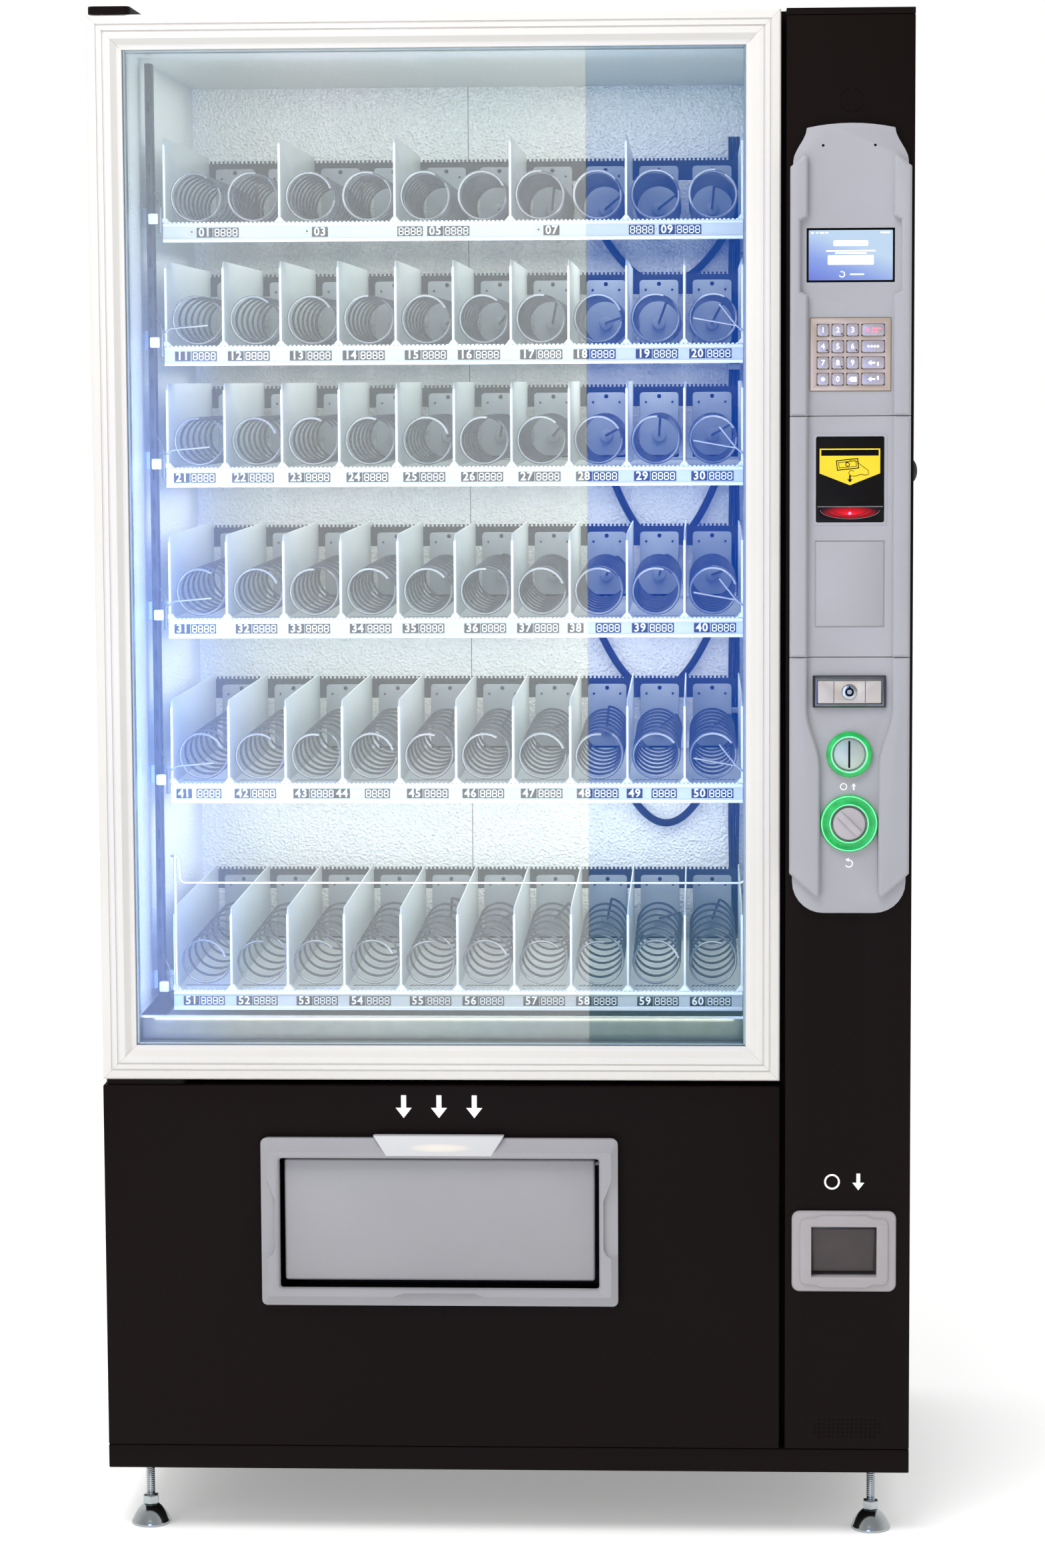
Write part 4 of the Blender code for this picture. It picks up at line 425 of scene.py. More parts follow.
def makeFoot(node):
    low, high = boxOf(node)
    center = ((low.x + high.x) / 2, (low.y + high.y) / 2, 0)
    bellTop, top = foot["padEdge"] + foot["bell"], high.z / mm
    profile = [(0, 0), (foot["pad"] - 1.5, 0), (foot["pad"], 1.5), (foot["pad"], foot["padEdge"] - 1)]
    for step in range(13):
        share = 1 - step / 12
        profile.append((foot["stem"] + (foot["pad"] - 0.6 - foot["stem"]) * share ** 0.8, bellTop - foot["bell"] * share ** 1.6))
    pitch = (top - bellTop) / foot["threads"]
    for turn in range(foot["threads"]):
        z = bellTop + turn * pitch
        profile += [(foot["stem"], z + 0.2 * pitch), (foot["stem"] - foot["thread"], z + 0.7 * pitch)]
    profile += [(foot["stem"], top), (0, top)]
    bm = bmesh.new()
    addTurned(bm, "z", center, [(radius * mm, z * mm) for radius, z in profile], 40)
    addRod(bm, "z", center[:2], foot["nut"] * mm, (bellTop * mm, (bellTop + foot["nutHeight"]) * mm), 6, 1.2 * mm)
    addPiece(node + "_turned", bm, "cabinet", "chrome", node)


for node in ("foot_front_left", "foot_front_right", "foot_rear_left", "foot_rear_right"):
    makeFoot(node)

# service cover, screws and power inlet on the back
rear = {"cover": (700, 560), "coverZ": 1330, "sheet": 1.5, "screw": 5, "inlet": (50, 28), "inletX": 380, "inletZ": 240}


def makeRear():
    backY = boxOf("cabinet_body")[1].y
    wide, tall = (size * mm / 2 for size in rear["cover"])
    middle = rear["coverZ"] * mm
    bm, screws, inlet = bmesh.new(), bmesh.new(), bmesh.new()
    sheet = rear["sheet"] * mm
    addPlate(bm, roundedOutline((0, middle), (2 * wide, 2 * tall), 12 * mm), (backY + sheet, backY + 0.1 * mm), 1 * mm)
    places = [(x, z) for x in (-wide + 16 * mm, 0, wide - 16 * mm) for z in (middle - tall + 16 * mm, middle + tall - 16 * mm)]
    places += [(x, middle) for x in (-wide + 16 * mm, wide - 16 * mm)]
    for x, z in places:
        addRod(screws, "y", (x, z), rear["screw"] * mm, (backY + sheet, backY + sheet + 2 * mm), 20, 0.8 * mm)
        # painted shade: a dark bar stands in for the screw slot
        addBox(screws, (x - 3.4 * mm, backY + sheet + 1.9 * mm, z - 0.5 * mm), (x + 3.4 * mm, backY + sheet + 2.1 * mm, z + 0.5 * mm), coat=1)
    x, z = rear["inletX"] * mm, rear["inletZ"] * mm
    addPlate(inlet, roundedOutline((x, z), (rear["inlet"][0] * mm, rear["inlet"][1] * mm), 4 * mm), (backY + 3 * mm, backY + 0.1 * mm), 0.8 * mm)
    # painted shade: a dark box stands in for the socket's hollow
    addBox(inlet, (x - 14 * mm, backY + 2.9 * mm, z - 8 * mm), (x + 14 * mm, backY + 3.2 * mm, z + 8 * mm), coat=1)
    for pin in (-8, 0, 8):
        addBox(inlet, (x + (pin - 1) * mm, backY + 3.1 * mm, z - 3 * mm), (x + (pin + 1) * mm, backY + 5 * mm, z + 3 * mm), 0.3 * mm, coat=2)
    addPiece("service_cover", bm, "cabinet", "black")
    addPiece("service_screws", screws, "cabinet", ["chrome", "dark"])
    addPiece("power_inlet", inlet, "cabinet", ["blackPlastic", "dark", "chrome"])


# domed stop on the right side
stop = {"radius": 15, "proud": 8, "y": -320, "z": 1393}


def makeStop():
    bm = bmesh.new()
    arc = [math.pi / 2 * s / 8 for s in range(9)]
    profile = [(stop["radius"] * math.sin(a) * mm, stop["proud"] * math.cos(a) * mm) for a in arc] + [(0, 0)]
    addTurned(bm, "x", (boxOf("cabinet_body")[1].x + 0.1 * mm, stop["y"] * mm, stop["z"] * mm), profile, 32)
    addPiece("side_stop", bm, "cabinet", "rubber")


makeRear()
makeStop()
print("base, feet and back done")

# glass door
door = {"gap": 0.12, "bar": 44, "groove": 1.8, "pane": 4, "bite": 9, "setback": 12, "unit": 24, "spacer": 12}
doorLow, doorHigh = boxOf("door_frame")
faceY = doorLow.y


def makeDoorBars():
    depth = (doorHigh.y - faceY) / mm
    bar, groove, front, back, bite = door["bar"], door["groove"], door["setback"] - 0.3, door["setback"] + door["unit"] + 0.3, door["bite"] + 0.3
    profile = [(0.6, 2.4), (2, 1.4), (11.2, 0.2), (12, groove), (13.4, groove), (14, 0), (19.4, 0), (20, groove), (21.4, groove), (22, 0.3),
               (28.6, 0), (30, 0.4), (37.4, 6.6), (38.6, 7), (43.2, 7), (44, 7.8), (bar, front), (bar - bite, front),
               (bar - bite, back), (bar, back), (bar, depth - 0.6), (bar - 0.6, depth), (0.6, depth), (0, depth - 0.6), (0, 3.2)]
    corners = [(doorLow.x, doorLow.z, 1, 1), (doorHigh.x, doorLow.z, -1, 1), (doorHigh.x, doorHigh.z, -1, -1), (doorLow.x, doorHigh.z, 1, -1)]
    bm = bmesh.new()
    for side in range(4):
        local = bmesh.new()
        ends = (corners[side], corners[(side + 1) % 4])
        way = (Vector(ends[1][:2]) - Vector(ends[0][:2])).normalized()
        rings = []
        for (x, z, inX, inZ), sense in zip(ends, (1, -1)):
            shift = way * sense * door["gap"] * mm
            ring = [local.verts.new((x + inX * u * mm + shift[0], faceY + d * mm, z + inZ * u * mm + shift[1])) for u, d in profile]
            rings.append([local.edges.new(pair) for pair in zip(ring, ring[1:] + ring[:1])])
        bmesh.ops.bridge_loops(local, edges=rings[0] + rings[1])
        for ring in rings:
            bmesh.ops.edgeloop_fill(local, edges=ring)
        bmesh.ops.recalc_face_normals(local, faces=local.faces)
        merge(bm, local)
    addPiece("door_bars", bm, "glass_door", "profile", "door_frame", 20)


def makeGlazing():
    low, high = boxOf("glazing_unit")
    pane, inset = door["pane"] * mm, door["spacer"] * mm
    bm = bmesh.new()
    addBox(bm, low, (high.x, low.y + pane, high.z), 0.6 * mm, 1)
    addBox(bm, (low.x, high.y - pane, low.z), high, 0.6 * mm, 1)
    addPiece("glass_panes", bm, "glass_door", "glass", "glazing_unit")
    bm = bmesh.new()
    y0, y1 = low.y + pane + 0.1 * mm, high.y - pane - 0.1 * mm
    for x0, x1 in ((low.x + 1 * mm, low.x + inset), (high.x - inset, high.x - 1 * mm)):
        addBox(bm, (x0, y0, low.z + 1 * mm), (x1, y1, high.z - 1 * mm), 0.5 * mm, 1)
    for z0, z1 in ((low.z + 1 * mm, low.z + inset), (high.z - inset, high.z - 1 * mm)):
        addBox(bm, (low.x + inset, y0, z0), (high.x - inset, y1, z1), 0.5 * mm, 1)
    addPiece("pane_spacer", bm, "glass_door", "spacer")


makeDoorBars()
makeGlazing()
softened("door_gasket", "glass_door", "rubber", 1.2)
print("glass door done")

# chamber lining, sill and rack posts
chamber = {"top": 1936, "floor": 640, "back": 350, "sillTop": 681, "sillDeep": 20, "sheet": 0.8, "front": -339}
trayLow, trayHigh = boxOf("tray_1")
chamberLeft, chamberRight = trayLow.x - 0.3 * mm, trayHigh.x + 0.3 * mm
trayFront = boxOf("tray_6")[0].y + 9 * mm
coilEnds = [sum(corner.x for corner in boxOf(name)) / 2 for name in ("spiral_01", "spiral_10")]
lanePitch = (coilEnds[1] - coilEnds[0]) / 9
laneCenters = [coilEnds[0] + lane * lanePitch for lane in range(10)]
trayLeft, trayRight = laneCenters[0] - lanePitch / 2, laneCenters[-1] + lanePitch / 2


def makeLining():
    top, floor, back, front = (chamber[key] * mm for key in ("top", "floor", "back", "front"))
    sheet, off = chamber["sheet"] * mm, 0.1 * mm
    seam = (chamberLeft + chamberRight) / 2
    bm = bmesh.new()
    addBox(bm, (chamberLeft + off, back - sheet, floor), (seam - 0.5 * mm, back - off, top))
    addBox(bm, (seam + 0.5 * mm, back - sheet, floor), (chamberRight - off, back - off, top))
    addBox(bm, (chamberLeft + off, front + 2 * mm, chamber["sillTop"] * mm), (chamberLeft + sheet, back - sheet, top))
    addBox(bm, (chamberRight - sheet, front + 2 * mm, chamber["sillTop"] * mm), (chamberRight - off, back - sheet, top))
    addBox(bm, (chamberLeft + sheet, front + 2 * mm, top - sheet), (chamberRight - sheet, back - sheet, top - off))
    addBox(bm, (chamberLeft + sheet, trayFront + 1 * mm, floor + off), (chamberRight - sheet, back - sheet, floor + sheet))
    addPiece("chamber_lining", bm, "cabinet", "liner")
    bm = bmesh.new()
    sillTop, sillBack = chamber["sillTop"] * mm, front + chamber["sillDeep"] * mm
    left, right = chamberLeft + 1 * mm, chamberRight - 1 * mm
    addBox(bm, (left, front - 0.9 * mm, 643 * mm), (right, front - 0.1 * mm, sillTop + 1 * mm), 0.3 * mm)
    addBox(bm, (left, front - 0.9 * mm, sillTop + 0.2 * mm), (right, sillBack + 1 * mm, sillTop + 1.4 * mm), 0.3 * mm)
    addBox(bm, (left, sillBack + 0.2 * mm, floor), (right, sillBack + 1 * mm, sillTop), 0.3 * mm)
    addPiece("sill_cover", bm, "cabinet", "galvanised")


post = {"wide": 9, "deep": 24, "from": 690, "to": 1928, "slot": 40, "led": 2.2, "ledFront": 343}


def makePosts():
    bm, holes, lights = bmesh.new(), bmesh.new(), bmesh.new()
    # painted shade: dark marks on the posts stand in for the hollow slots
    slot = bmesh.new()
    addBox(slot, (-1.5 * mm, -0.15 * mm, -7 * mm), (1.5 * mm, 0.5 * mm, 7 * mm))
    slot = asMesh(slot)
    for x0, x1 in ((chamberLeft + 10 * mm, chamberLeft + (10 + post["wide"]) * mm), (chamberRight - 7 * mm, chamberRight - 1 * mm)):
        y0 = trayFront + 2 * mm
        addBox(bm, (x0, y0, post["from"] * mm), (x1, y0 + post["deep"] * mm, post["to"] * mm), 1 * mm)
        steps = range(int((post["to"] - post["from"]) / post["slot"]))
        stamp(holes, slot, [((x0 + x1) / 2, y0, (post["from"] + 20 + step * post["slot"]) * mm) for step in steps])
    led, y0 = post["led"] * mm, -post["ledFront"] * mm
    for x in (chamberLeft + 0.2 * mm, chamberRight - 0.2 * mm - led):
        addBox(lights, (x, y0, post["from"] * mm), (x + led, y0 + 9 * mm, post["to"] * mm), 0.5 * mm)
    addPiece("rack_posts", bm, "cabinet", "darkSteel")
    addPiece("rack_slots", holes, "cabinet", "dark")
    addPiece("led_strips", lights, "cabinet", "leds")


makeLining()
makePosts()
print("chamber done")

# product trays
tray = {"rail": 25, "railThick": 9, "lip": 4, "groove": 2.5, "depth": 480, "divider": 1.8, "dividerHigh": 112, "round": 9,
        "plateHigh": 96, "numberWide": 21, "priceWide": 33.5, "labelHigh": 12.6, "tooth": 5.6, "slotPitch": 5.4,
        "slipped": {(3, 7): -15, (4, 0): -5, (4, 3): -19, (4, 8): -11}}
coil = {"radius": 31, "wire": 3.4, "floorGap": 2, "lead": 8, "steps": 28, "sides": 8, "hub": 12.3}
lanesOn = [5, 10, 10, 10, 10, 10]
turnsOn = [10, 7, 7, 8, 8, 7]
trayBack = trayFront + tray["depth"] * mm


# four all-on display digits, drawn as their bars
def eightsShape(wide, high, pitch):
    bars = (((-1, 1), (1, 1)), ((-1, 0), (1, 0)), ((-1, -1), (1, -1)), ((-1, 0), (-1, 1)), ((1, 0), (1, 1)), ((-1, -1), (-1, 0)), ((1, -1), (1, 0)))
    half, local = wide * 0.12, bmesh.new()
    for digit in range(4):
        for (ax, az), (bx, bz) in bars:
            x = sorted(((digit - 1.5) * pitch + end * wide / 2 for end in (ax, bx)))
            z = sorted((end * high / 2 for end in (az, bz)))
            addBox(local, (x[0] - half, -0.12 * mm, z[0] - half), (x[1] + half, 0.05 * mm, z[1] + half))
    return asMesh(local)


def boxShape(size, edge=0.0, offset=(0, 0, 0)):
    local = bmesh.new()
    half = Vector(size) / 2
    addBox(local, Vector(offset) - half, Vector(offset) + half, edge)
    return asMesh(local)


# one lane divider seen from the side: a sheet with a rounded front corner; the bright bead on its front edge is drawn
# with its foot
def dividerShape():
    high, round0, half = tray["dividerHigh"] * mm, tray["round"] * mm, tray["divider"] * mm / 2
    outline = [(2 * mm, 0.2 * mm), (tray["depth"] * mm - 3.5 * mm, 0.2 * mm), (tray["depth"] * mm - 3.5 * mm, high)]
    outline += [(2 * mm + round0 * (1 - math.sin(math.pi / 2 * s / 6)), high - round0 * (1 - math.cos(math.pi / 2 * s / 6))) for s in range(7)]
    local = bmesh.new()
    side = local.faces.new([local.verts.new((-half, y, z)) for y, z in outline])
    pushed = bmesh.ops.extrude_face_region(local, geom=[side])["geom"]
    bmesh.ops.translate(local, verts=[v for v in pushed if isinstance(v, bmesh.types.BMVert)], vec=(2 * half, 0, 0))
    bmesh.ops.recalc_face_normals(local, faces=local.faces)
    rims = [line for line in local.edges if any(len(face.verts) > 4 for face in line.link_faces)]
    bmesh.ops.bevel(local, geom=rims, offset=0.4 * mm, segments=2, profile=0.5, affect="EDGES", material=-1)
    return asMesh(local)


def dividerFootShape():
    local = bmesh.new()
    addPlate(local, [(-7.5 * mm, 0.2 * mm), (7.5 * mm, 0.2 * mm), (2 * mm, 7 * mm), (-2 * mm, 7 * mm)], (-2 * mm, 12 * mm), 0.6 * mm)
    addBox(local, (-1.5 * mm, -0.5 * mm, 6 * mm), (1.5 * mm, 2.6 * mm, (tray["dividerHigh"] - tray["round"]) * mm), 0.7 * mm)
    return asMesh(local)


# wire wound by a spin that recedes, with an arm back to the drive hub
def coilShape(turns):
    wire, radius = coil["wire"] * mm / 2, coil["radius"] * mm
    hub, front = trayBack - coil["hub"] * mm, trayFront + coil["wire"] * mm
    back = hub - 2 * coil["lead"] * mm
    steps = turns * coil["steps"]
    local = bmesh.new()
    ring = bmesh.ops.create_circle(local, segments=coil["sides"], radius=wire, matrix=Matrix.Translation((radius, 0, 0)) @ Matrix.Rotation(math.pi / 2, 4, "X"))
    bmesh.ops.spin(local, geom=ring["verts"] + local.edges[:], axis=(0, 0, 1), cent=(0, 0, 0), dvec=(0, 0, (front - back) / steps), angle=2 * math.pi * turns, steps=steps)
    bmesh.ops.holes_fill(local, edges=[line for line in local.edges if line.is_boundary], sides=coil["sides"])
    bmesh.ops.transform(local, verts=local.verts, matrix=Matrix.Translation((0, front, 0)) @ Matrix.Rotation(math.pi / 2, 4, "X"))
    bmesh.ops.recalc_face_normals(local, faces=local.faces)
    whole = bmesh.new()
    merge(whole, local)
    # painted highlight: the faces of the first turn take the lighter wire tone
    for face in whole.faces:
        face.material_index = 1 if face.calc_center_median().y < front + 0.9 * (back - front) / turns else 0
    addTube(whole, [(0, hub, 0), (0, hub - 6 * mm, 0), (2 * mm, hub - 8 * mm, 0), (radius - 6 * mm, back + 2 * mm, 0), (radius, back, 0)], wire, coil["sides"])
    return asMesh(whole)


def motorShape():
    local = bmesh.new()
    top = tray["plateHigh"]
    addPlate(local, roundedOutline((0, (top + 6) / 2 * mm), (56 * mm, (top - 6) * mm), 5 * mm, 4), (-2 * mm, -0.6 * mm), 0.4 * mm, 1)
    addBox(local, (-28 * mm, 0, 2 * mm), (28 * mm, 50 * mm, 74 * mm), 2 * mm, coat=1)
    addRod(local, "y", (0, (coil["floorGap"] + coil["radius"] + coil["wire"] / 2) * mm), 9 * mm, (-12 * mm, -2 * mm), 20, 1 * mm)
    for side, drop, radius in ((0, 5.5, 3), (-19, 14, 1.7), (19, 14, 1.7)):
        addRod(local, "y", (side * mm, (top - drop) * mm), radius * mm, (-2.5 * mm, -2 * mm), 14, 0.2 * mm, coat=1)
    return asMesh(local)


shapes = {"eights": eightsShape(5.2 * mm, 9 * mm, 7.9 * mm), "divider": dividerShape(), "foot": dividerFootShape(), "motor": motorShape(),
          "tooth": boxShape((3.2 * mm, 4 * mm, 1.8 * mm), 0.4 * mm), "backTooth": boxShape((3 * mm, 2 * mm, 4 * mm)),
          "slot": boxShape((2.6 * mm, 12 * mm, 0.2 * mm)), "dash": boxShape((3.6 * mm, 2 * mm, 0.2 * mm)),
          "number": boxShape((tray["numberWide"] * mm, 0.5 * mm, tray["labelHigh"] * mm), 0.15 * mm),
          "price": boxShape((tray["priceWide"] * mm, 0.5 * mm, tray["labelHigh"] * mm), 0.15 * mm),
          "clip": boxShape((13 * mm, 10 * mm, 14 * mm), 2 * mm), "latch": boxShape((5 * mm, 6 * mm, 34 * mm), 0.8 * mm)}
shapes["slot"].transform(Matrix.Shear("XY", 4, (0, 0)) @ Matrix.Rotation(math.radians(-18), 4, "Z"))
print("tray shapes done")


def makeTray(index):
    node = f"tray_{index + 1}"
    low = boxOf(node)[0]
    floor = low.z + tray["rail"] * mm
    lanes = lanesOn[index]
    pitch = (trayRight - trayLeft) / lanes
    edges = [trayLeft + lane * pitch for lane in range(lanes + 1)]
    bm = bmesh.new()
    addBox(bm, (trayLeft - 1 * mm, trayFront, floor - 2 * mm), (trayRight + 1 * mm, trayBack, floor), 0.4 * mm, 1)
    addBox(bm, (trayLeft - 1 * mm, trayBack - 3 * mm, floor), (trayRight + 1 * mm, trayBack, floor + 3 * mm), 0.4 * mm, 1)
    for x0, x1 in ((chamberLeft + 1.2 * mm, trayLeft + 1 * mm), (trayRight - 1 * mm, chamberRight - 8 * mm)):
        for y in (trayFront + 30 * mm, trayBack - 60 * mm):
            addBox(bm, (x0, y, floor - 2 * mm), (x1, y + 12 * mm, floor + 22 * mm), 0.5 * mm, 1)
    addPiece(f"{node}_pan", bm, "cabinet", "enamel", node)

    thick, high, lip, groove = tray["railThick"], tray["rail"], tray["lip"], tray["groove"]
    section = [(1.6, 0), (1.6, high), (groove - thick, high), (-thick, high - groove), (-thick, high - lip), (groove - thick, high - lip),
               (groove - thick, lip), (-thick, lip), (-thick, 0)]
    bm, local = bmesh.new(), bmesh.new()
    end = local.faces.new([local.verts.new((trayLeft - 1 * mm, trayFront + y * mm, low.z + z * mm)) for y, z in section])
    pushed = bmesh.ops.extrude_face_region(local, geom=[end])["geom"]
    bmesh.ops.translate(local, verts=[v for v in pushed if isinstance(v, bmesh.types.BMVert)], vec=(trayRight - trayLeft + 2 * mm, 0, 0))
    bmesh.ops.recalc_face_normals(local, faces=local.faces)
    bmesh.ops.bevel(local, geom=local.edges[:], offset=0.35 * mm, segments=1, profile=0.5, affect="EDGES", material=-1)
    merge(bm, local)
    teeth = int((trayRight - trayLeft) / (tray["tooth"] * mm))
    stamp(bm, shapes["tooth"], [(trayLeft + (n + 0.5) * tray["tooth"] * mm, trayFront - 4.5 * mm, floor + 0.6 * mm) for n in range(teeth)])
    addPiece(f"{node}_rail", bm, "cabinet", "white", smooth=25)

    bm = bmesh.new()
    stamp(bm, shapes["divider"], [(x, trayFront, floor) for x in edges])
    addPiece(f"{node}_dividers", bm, "cabinet", "divider")
    bm = bmesh.new()
    stamp(bm, shapes["foot"], [(x, trayFront, floor) for x in edges])
    addPiece(f"{node}_divider_feet", bm, "cabinet", "white")
    bm = bmesh.new()
    stamp(bm, shapes["motor"], [(x, trayBack, floor) for x in laneCenters])
    addPiece(f"{node}_motors", bm, "cabinet", ["plate", "blackPlastic"])
    bm = bmesh.new()
    strip = floor + (tray["plateHigh"] + 8) * mm
    addBox(bm, (trayLeft, trayBack + 4 * mm, floor + 76 * mm), (trayRight, trayBack + 6 * mm, strip))
    stamp(bm, shapes["backTooth"], [(trayLeft + (n + 0.5) * 6 * mm, trayBack + 5 * mm, strip + 1.5 * mm) for n in range(int((trayRight - trayLeft) / (6 * mm)))])
    addPiece(f"{node}_cable_strip", bm, "cabinet", "cable")

    # painted shade: dark marks on the tray floor stand in for its slots
    bm = bmesh.new()
    for x0 in edges[:-1]:
        count = int(pitch / (tray["slotPitch"] * mm)) - 3
        first = x0 + pitch / 2 - (count - 1) / 2 * tray["slotPitch"] * mm
        stamp(bm, shapes["slot"], [(first + n * tray["slotPitch"] * mm, trayFront + 48 * mm, floor) for n in range(count)])
        stamp(bm, shapes["dash"], [(first + n * tray["slotPitch"] * mm, trayFront + 20 * mm, floor) for n in range(0, count, 2)])
    addPiece(f"{node}_floor_slots", bm, "cabinet", "dark")

    bm = bmesh.new()
    trackY, track = trayFront - (thick - groove) * mm, (lip + 0.3) * mm
    addBox(bm, (trayLeft - 0.8 * mm, trackY - 0.08 * mm, low.z + track), (trayRight + 0.8 * mm, trackY + 0.3 * mm, low.z + high * mm - track))
    addPiece(f"{node}_label_track", bm, "cabinet", "enamel")

    labels, digits = bmesh.new(), bmesh.new()
    y, z = trayFront - (thick - groove) * mm - 0.3 * mm, low.z + high * mm / 2
    for lane in range(lanes):
        words = f"0{2 * lane + 1}" if lanes == 5 else (f"{index}{lane + 1}" if lane < 9 else f"{index + 1}0")
        split = edges[lane] + lanePitch / 2 - 7 * mm + 3 * mm * math.sin(3.1 * lane + 1.7 * index)
        split += 34 * mm if lanes == 5 else 0
        number, price = split - (tray["numberWide"] / 2 + 0.5) * mm, split + (tray["priceWide"] / 2 + 0.5) * mm
        number += tray["slipped"].get((index, lane), 0) * mm
        prices = [price] if lanes == 10 else ([price], [], [price, number - 33 * mm])[0 if lane == 0 else 2 - lane % 2]
        stamp(labels, shapes["number"], [(number, y, z)])
        addText(digits, words, (number, y - 0.3 * mm, z), 11 * mm, 0.76)
        stamp(labels, shapes["price"], [(price, y, z) for price in prices])
        stamp(digits, shapes["eights"], [(price, y - 0.3 * mm, z) for price in prices])
        if lanes == 5:
            addRing(digits, (number - 17 * mm, z + 1 * mm), 2.2 * mm, 1 * mm, y + 0.3 * mm, 0.4)
            addRod(labels, "y", (number - 17 * mm, z + 1 * mm), 3.2 * mm, (y, y + 0.4 * mm), 16)
    addPiece(f"{node}_price_labels", labels, "cabinet", "labelInk")
    addPiece(f"{node}_price_digits", digits, "cabinet", "print")

    bm = bmesh.new()
    stamp(bm, shapes["clip"], [(trayLeft - 14 * mm, trayFront - 4 * mm, floor + 6 * mm)])
    addPiece(f"{node}_end_clip", bm, "cabinet", "white")
    bm = bmesh.new()
    stamp(bm, shapes["latch"], [(trayLeft - 5 * mm, trayFront - 3 * mm, floor + 4 * mm)])
    addTube(bm, [(trayLeft - 5 * mm, trayFront - 3 * mm, floor + 20 * mm), (trayLeft - 9 * mm, trayFront - 2 * mm, floor + 34 * mm),
                 (trayLeft - 15 * mm, trayFront + 4 * mm, floor + 44 * mm), (trayLeft - 17 * mm, trayFront + 14 * mm, floor + 50 * mm)], 1.4 * mm)
    addPiece(f"{node}_latch", bm, "cabinet", "darkChrome")
    if 0 < index < 5:
        bm = bmesh.new()
        y = trayFront - 1.5 * mm
        for end, side, reaches in ((trayLeft - 6 * mm, 1, ((62, 28),)), (trayRight + 4 * mm, -1, ((68, 34), (34, 52)))):
            for across, rise in reaches:
                addTube(bm, [(end, y, floor + 14 * mm), (end + side * 12 * mm, y, floor + 24 * mm), (end + side * across * mm, y, floor + rise * mm)], 1.3 * mm, 8)
        # painted highlight: the end wires take the lighter wire tone
        addPiece(f"{node}_end_wires", bm, "cabinet", "frontWire")
    return floor + (coil["floorGap"] + coil["radius"] + coil["wire"] / 2) * mm


def makeTrays():
    wound = {turns: coilShape(turns) for turns in set(turnsOn)}
    for index in range(6):
        axisZ = makeTray(index)
        shared = bmesh.new()
        for lane, center in enumerate(laneCenters):
            phase = math.radians(-(52 + 34 * math.sin(2.3 * lane + index)))
            place = Matrix.Translation((center, 0, axisZ)) @ Matrix.Rotation(phase, 4, "Y")
            if index < 5:
                stamp(shared, wound[turnsOn[index]], [place])
                continue
            single = bmesh.new()
            stamp(single, wound[turnsOn[index]], [place])
            addPiece(f"coil_{lane + 1:02d}", single, f"spiral_{lane + 1:02d}_body", ["wire", "frontWire"], f"spiral_{lane + 1:02d}")
        if index < 5:
            addPiece(f"tray_{index + 1}_coils", shared, "cabinet", ["wire", "frontWire"])
        print("tray", index + 1, "done")


makeTrays()

# guard wire over the bottom tray
guard = {"height": 845, "ends": (-443, 313), "up": 880, "bend": 8, "wire": 3.2}


def makeGuard():
    y, z, up, bend = trayFront - 2 * mm, guard["height"] * mm, guard["up"] * mm, guard["bend"] * mm
    left, right = (end * mm for end in guard["ends"])
    arc = [(1 - math.cos(math.pi / 2 * s / 5), 1 - math.sin(math.pi / 2 * s / 5)) for s in range(6)]
    points = [(left - 12 * mm, y + 12 * mm, up), (left - 3 * mm, y + 2 * mm, up), (left, y, up - 6 * mm)]
    points += [(left + bend * u, y, z + bend * v) for u, v in arc]
    points += [(right - bend * u, y, z + bend * v) for u, v in reversed(arc)]
    points += [(right, y, up)]
    bm = bmesh.new()
    addTube(bm, points, guard["wire"] * mm / 2)
    addTube(bm, [(left - 5 * mm, y - 1 * mm, 690 * mm), (left - 6 * mm, y, 760 * mm), (left - 6 * mm, y + 2 * mm, up + 4 * mm)], 2 * mm)
    addPiece("guard_wire", bm, "cabinet", "brightWire")


makeGuard()

# tray leads: a clipped trunk down the back wall, and a loop from it to four of the trays
lead = {"thick": 11, "strand": 5.6, "pitch": 5.2, "trunkX": 303, "clip": 10, "behind": 332, "loops": ((0, 111, 42), (2, 114, 98), (3, 84, 112), (4, 116, 86))}


def makeLeads():
    y, radius = lead["behind"] * mm, lead["thick"] * mm / 2
    bm, clips = bmesh.new(), bmesh.new()
    for strand in (-1, 0, 1):
        x = (lead["trunkX"] + strand * lead["pitch"]) * mm
        addTube(bm, [(x + 0.6 * mm * math.sin(n * 1.3 + strand), y, (700 + n * 40) * mm) for n in range(30)], lead["strand"] * mm / 2)
    for n in range(5):
        z = (780 + n * 250) * mm
        addBox(clips, ((lead["trunkX"] - lead["clip"]) * mm, y - 6 * mm, z - 4 * mm), ((lead["trunkX"] + lead["clip"]) * mm, y + 17 * mm, z + 4 * mm), 1.5 * mm)
    addPiece("lead_trunk", bm, "cabinet", "cable")
    addPiece("lead_clips", clips, "cabinet", "white")
    for index, x0, sag in lead["loops"]:
        under = boxOf(f"tray_{index + 1}")[0].z
        points = []
        for n in range(33):
            share = n / 32
            x = (x0 + (lead["trunkX"] - 14 - x0) * share) * mm
            points.append((x, y - 2 * mm, under + 30 * mm - (sag + 30) * mm * 4 * share * (1 - share) - 6 * mm * share))
        bm = bmesh.new()
        addTube(bm, points, radius)
        piece = addPiece(f"tray_{index + 1}_lead", bm, "cabinet", "cable")


makeLeads()
print("guard wire and leads done")

# pickup surround, flap, lens tab and a push sign
pickup = {"lensTop": 169, "lensBottom": 136, "lensHigh": 26, "lensDeep": 10, "signOver": 36, "sign": 15}
